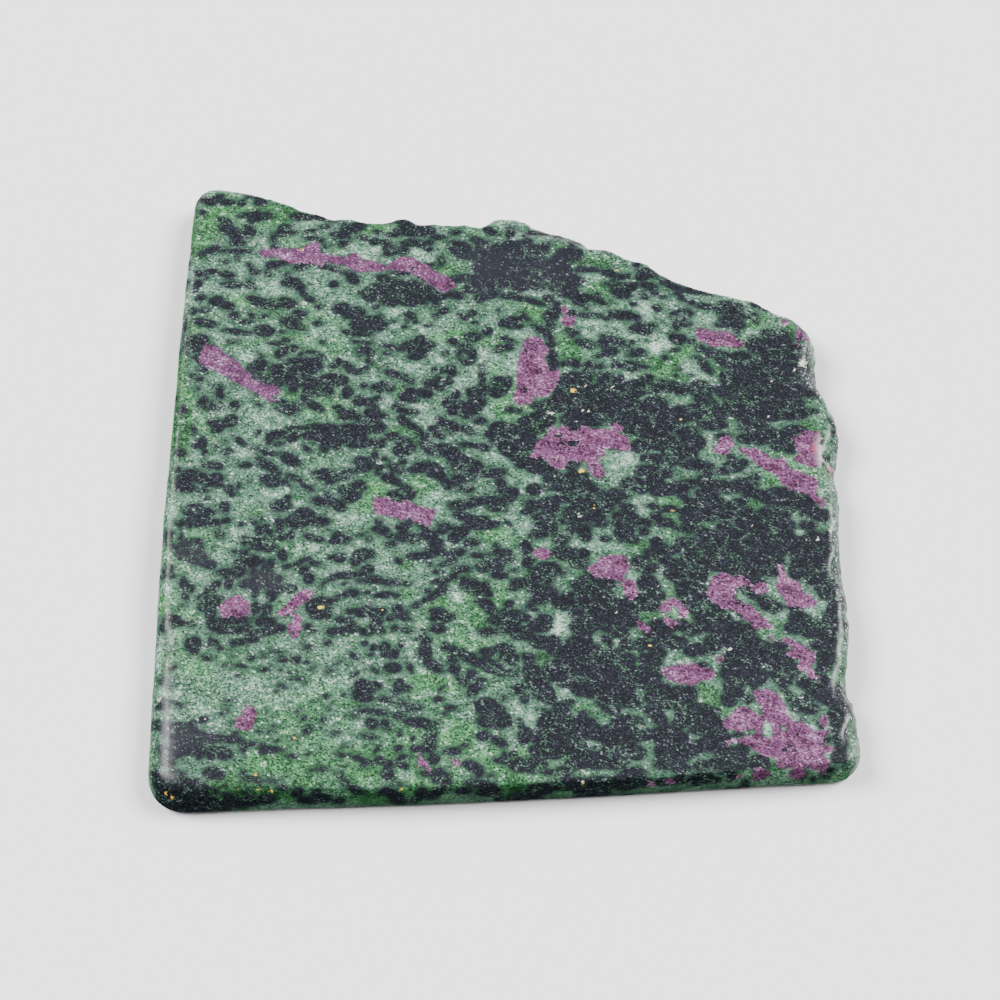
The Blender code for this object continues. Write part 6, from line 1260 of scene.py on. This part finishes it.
def markings(points, normals):
    """The value of each marking at each point, in the order of MARKINGS."""
    ground = Ground(pattern_places(points))
    holes, gaps = clot_depths(ground, RUBY_HOLES), clot_depths(ground, RUBY_GAPS)
    hornblende = np.maximum(clot_depths(ground, CLOTS + small_grains()), holes)
    ruby = np.minimum(outline_depths(ground, RUBIES), -np.maximum(holes, gaps))
    upright = np.clip(np.abs(normals[:, 2]), 0.0, 1.0)
    raw = np.clip(RAW_RIM * np.sqrt(1.0 - upright ** 2), 0.0, 1.0)
    right, left, back = (facing(side) for side in (normals[:, 0], -normals[:, 0], normals[:, 1]))
    hornblende = (hornblende + patch_values(ground, SHADES)
                  + BLACK_RIGHT * right + BLACK_BACK * back)
    frost = (FROST_AND_GLINTS_RIGHT * right + FROST_AND_GLINTS_LEFT * left + FROST_AND_GLINTS_BACK * back
             + patch_values(ground, FROSTED_AND_GLINTING) * upright ** 2)
    # How much each point faces the front, which painted shade darkens.
    deep = np.clip(-normals[:, 1] * FRONT_RIM, 0, 1)
    feldspar = [(x, y, size, size, GLINT_SPOT_STRENGTH) for x, y, size in GLINT_SPOTS]
    pyrite = [(x, y, PYRITE_RADIUS, PYRITE_RADIUS, PYRITE_STRENGTH) for x, y in PYRITE]
    sugar, *soft = (patch_values(ground, patches)
                    for patches in (PATCHES + PURER, GREY_BANDS, BLUSHES, MILKY, feldspar, pyrite))
    return [hornblende, ruby, sugar, raw, frost, deep, *soft]


def polished_slab():
    """The stone, with pits in its broken sides and the pattern as attributes of its mesh."""
    stone = even_copy(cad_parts["slab"])
    even = stone.data
    points, normals = vectors(even.vertices, "co") * TO_MM, vectors(even.vertex_normals, "vector")
    chip_broken_sides(points, normals)
    even.vertices.foreach_set("co", (points * MM).ravel())
    even.update()
    for name, values in zip(MARKINGS, markings(points, normals)):
        field = even.attributes.new(name, "FLOAT", "POINT")
        field.data.foreach_set("value", values.astype(np.float32))
    even.materials.clear()
    even.materials.append(polished_rock())
    return stone


stone = polished_slab()
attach(stone, "root")
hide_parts("slab")


# ---------------------------------------------------------------- floor, lights and camera
FLOOR_RADIUS = 2.0              # m, the flat middle
SWEEP_RADIUS = 1.2              # m, the curve from the floor up into the wall around it
SWEEP_STEPS = 6                 # faces along that curve
WALL_HEIGHT = 1.6               # m
FLOOR_SIDES = 96
FADE_HEIGHT = 0.7               # m, where the paper is grey, so the polish mirrors no white wall
PAPER_WHITE = "#fcfcfc"
PAPER_GREY = "#585a5c"
PAPER_ROUGHNESS = 0.9
LIGHT_AZIMUTH = 105.0           # degrees to either side of the front
LIGHT_ELEVATION = 46.0          # degrees above the floor
LIGHT_SPREAD = 35.0             # degrees, wide enough for soft shadows
LIGHT_STRENGTH = 5.6
SKY_STRENGTH = 0.22             # of the white light from all around
NEAREST_SEEN = 0.01             # m from the camera


def matt_white_paper():
    """Matt paper, which has no gloss of its own, and fades to grey up the wall."""
    material = bpy.data.materials.new("matt_white_paper")
    material.use_nodes = True
    tree = material.node_tree
    surface = tree.nodes["Principled BSDF"]
    where = add(tree, "ShaderNodeTexCoord", out="Object")
    height = add(tree, "ShaderNodeSeparateXYZ", {"Vector": where}, "Z")
    fade = add(tree, "ShaderNodeMapRange", {"Value": height, "From Max": FADE_HEIGHT},
               interpolation_type="SMOOTHSTEP", clamp=True)
    paper = add(tree, "ShaderNodeMix",
                {FACTOR: fade, A: linear(PAPER_WHITE), B: linear(PAPER_GREY)}, RESULT,
                data_type="RGBA")
    tree.links.new(paper, surface.inputs["Base Color"])
    surface.inputs["Roughness"].default_value = PAPER_ROUGHNESS
    return material


def pale_floor():
    """A round sheet of paper whose edge sweeps up all around, so that no horizon shows."""
    turns = [math.radians(90 / SWEEP_STEPS * n) for n in range(SWEEP_STEPS + 1)]
    profile = [(FLOOR_RADIUS + SWEEP_RADIUS * math.sin(t), SWEEP_RADIUS * (1 - math.cos(t)))
               for t in turns] + [(FLOOR_RADIUS + SWEEP_RADIUS, WALL_HEIGHT)]
    sheet = bmesh.new()
    rings = [[sheet.verts.new((r * math.cos(k), r * math.sin(k), z))
              for k in (2 * math.pi * n / FLOOR_SIDES for n in range(FLOOR_SIDES))]
             for r, z in profile]
    sheet.faces.new(rings[0])
    for low, high in zip(rings, rings[1:]):
        for n in range(FLOOR_SIDES):
            m = (n + 1) % FLOOR_SIDES
            sheet.faces.new((low[n], low[m], high[m], high[n])).smooth = True
    data = bpy.data.meshes.new("floor")
    sheet.to_mesh(data)
    sheet.free()
    floor = bpy.data.objects.new("floor", data)
    bpy.context.scene.collection.objects.link(floor)
    floor.data.materials.append(matt_white_paper())
    return floor


def sky_panel(name, azimuth):
    """A far soft light, even over the floor, from an azimuth in degrees."""
    lamp = bpy.data.lights.new(name, "SUN")
    lamp.energy = LIGHT_STRENGTH
    lamp.angle = math.radians(LIGHT_SPREAD)
    light = bpy.data.objects.new(name, lamp)
    bpy.context.scene.collection.objects.link(light)
    a, e = math.radians(azimuth), math.radians(LIGHT_ELEVATION)
    away = Vector((math.sin(a) * math.cos(e), -math.cos(a) * math.cos(e), math.sin(e)))
    light.location = away
    light.rotation_euler = away.to_track_quat("Z", "Y").to_euler()


def pale_sky():
    """An even white light from all around, which keeps the shadows faint."""
    world = bpy.data.worlds.new("studio")
    world.use_nodes = True
    background = world.node_tree.nodes["Background"]
    background.inputs["Color"].default_value = (1, 1, 1, 1)
    background.inputs["Strength"].default_value = SKY_STRENGTH
    bpy.context.scene.world = world


def camera():
    """The camera, above the front of the stone and looking down at AIM."""
    lens = bpy.data.cameras.new("camera")
    lens.lens = LENS
    lens.sensor_width = SENSOR
    lens.clip_start = NEAREST_SEEN
    view = bpy.data.objects.new("camera", lens)
    bpy.context.scene.collection.objects.link(view)
    e = math.radians(CAMERA_ELEVATION)
    away = Vector((0.0, -math.cos(e), math.sin(e)))
    view.location = Vector(AIM) * MM + away * CAMERA_DISTANCE * MM
    view.rotation_euler = away.to_track_quat("Z", "Y").to_euler()
    bpy.context.scene.camera = view


pale_floor()
sky_panel("left", -LIGHT_AZIMUTH)
sky_panel("right", LIGHT_AZIMUTH)
pale_sky()
camera()
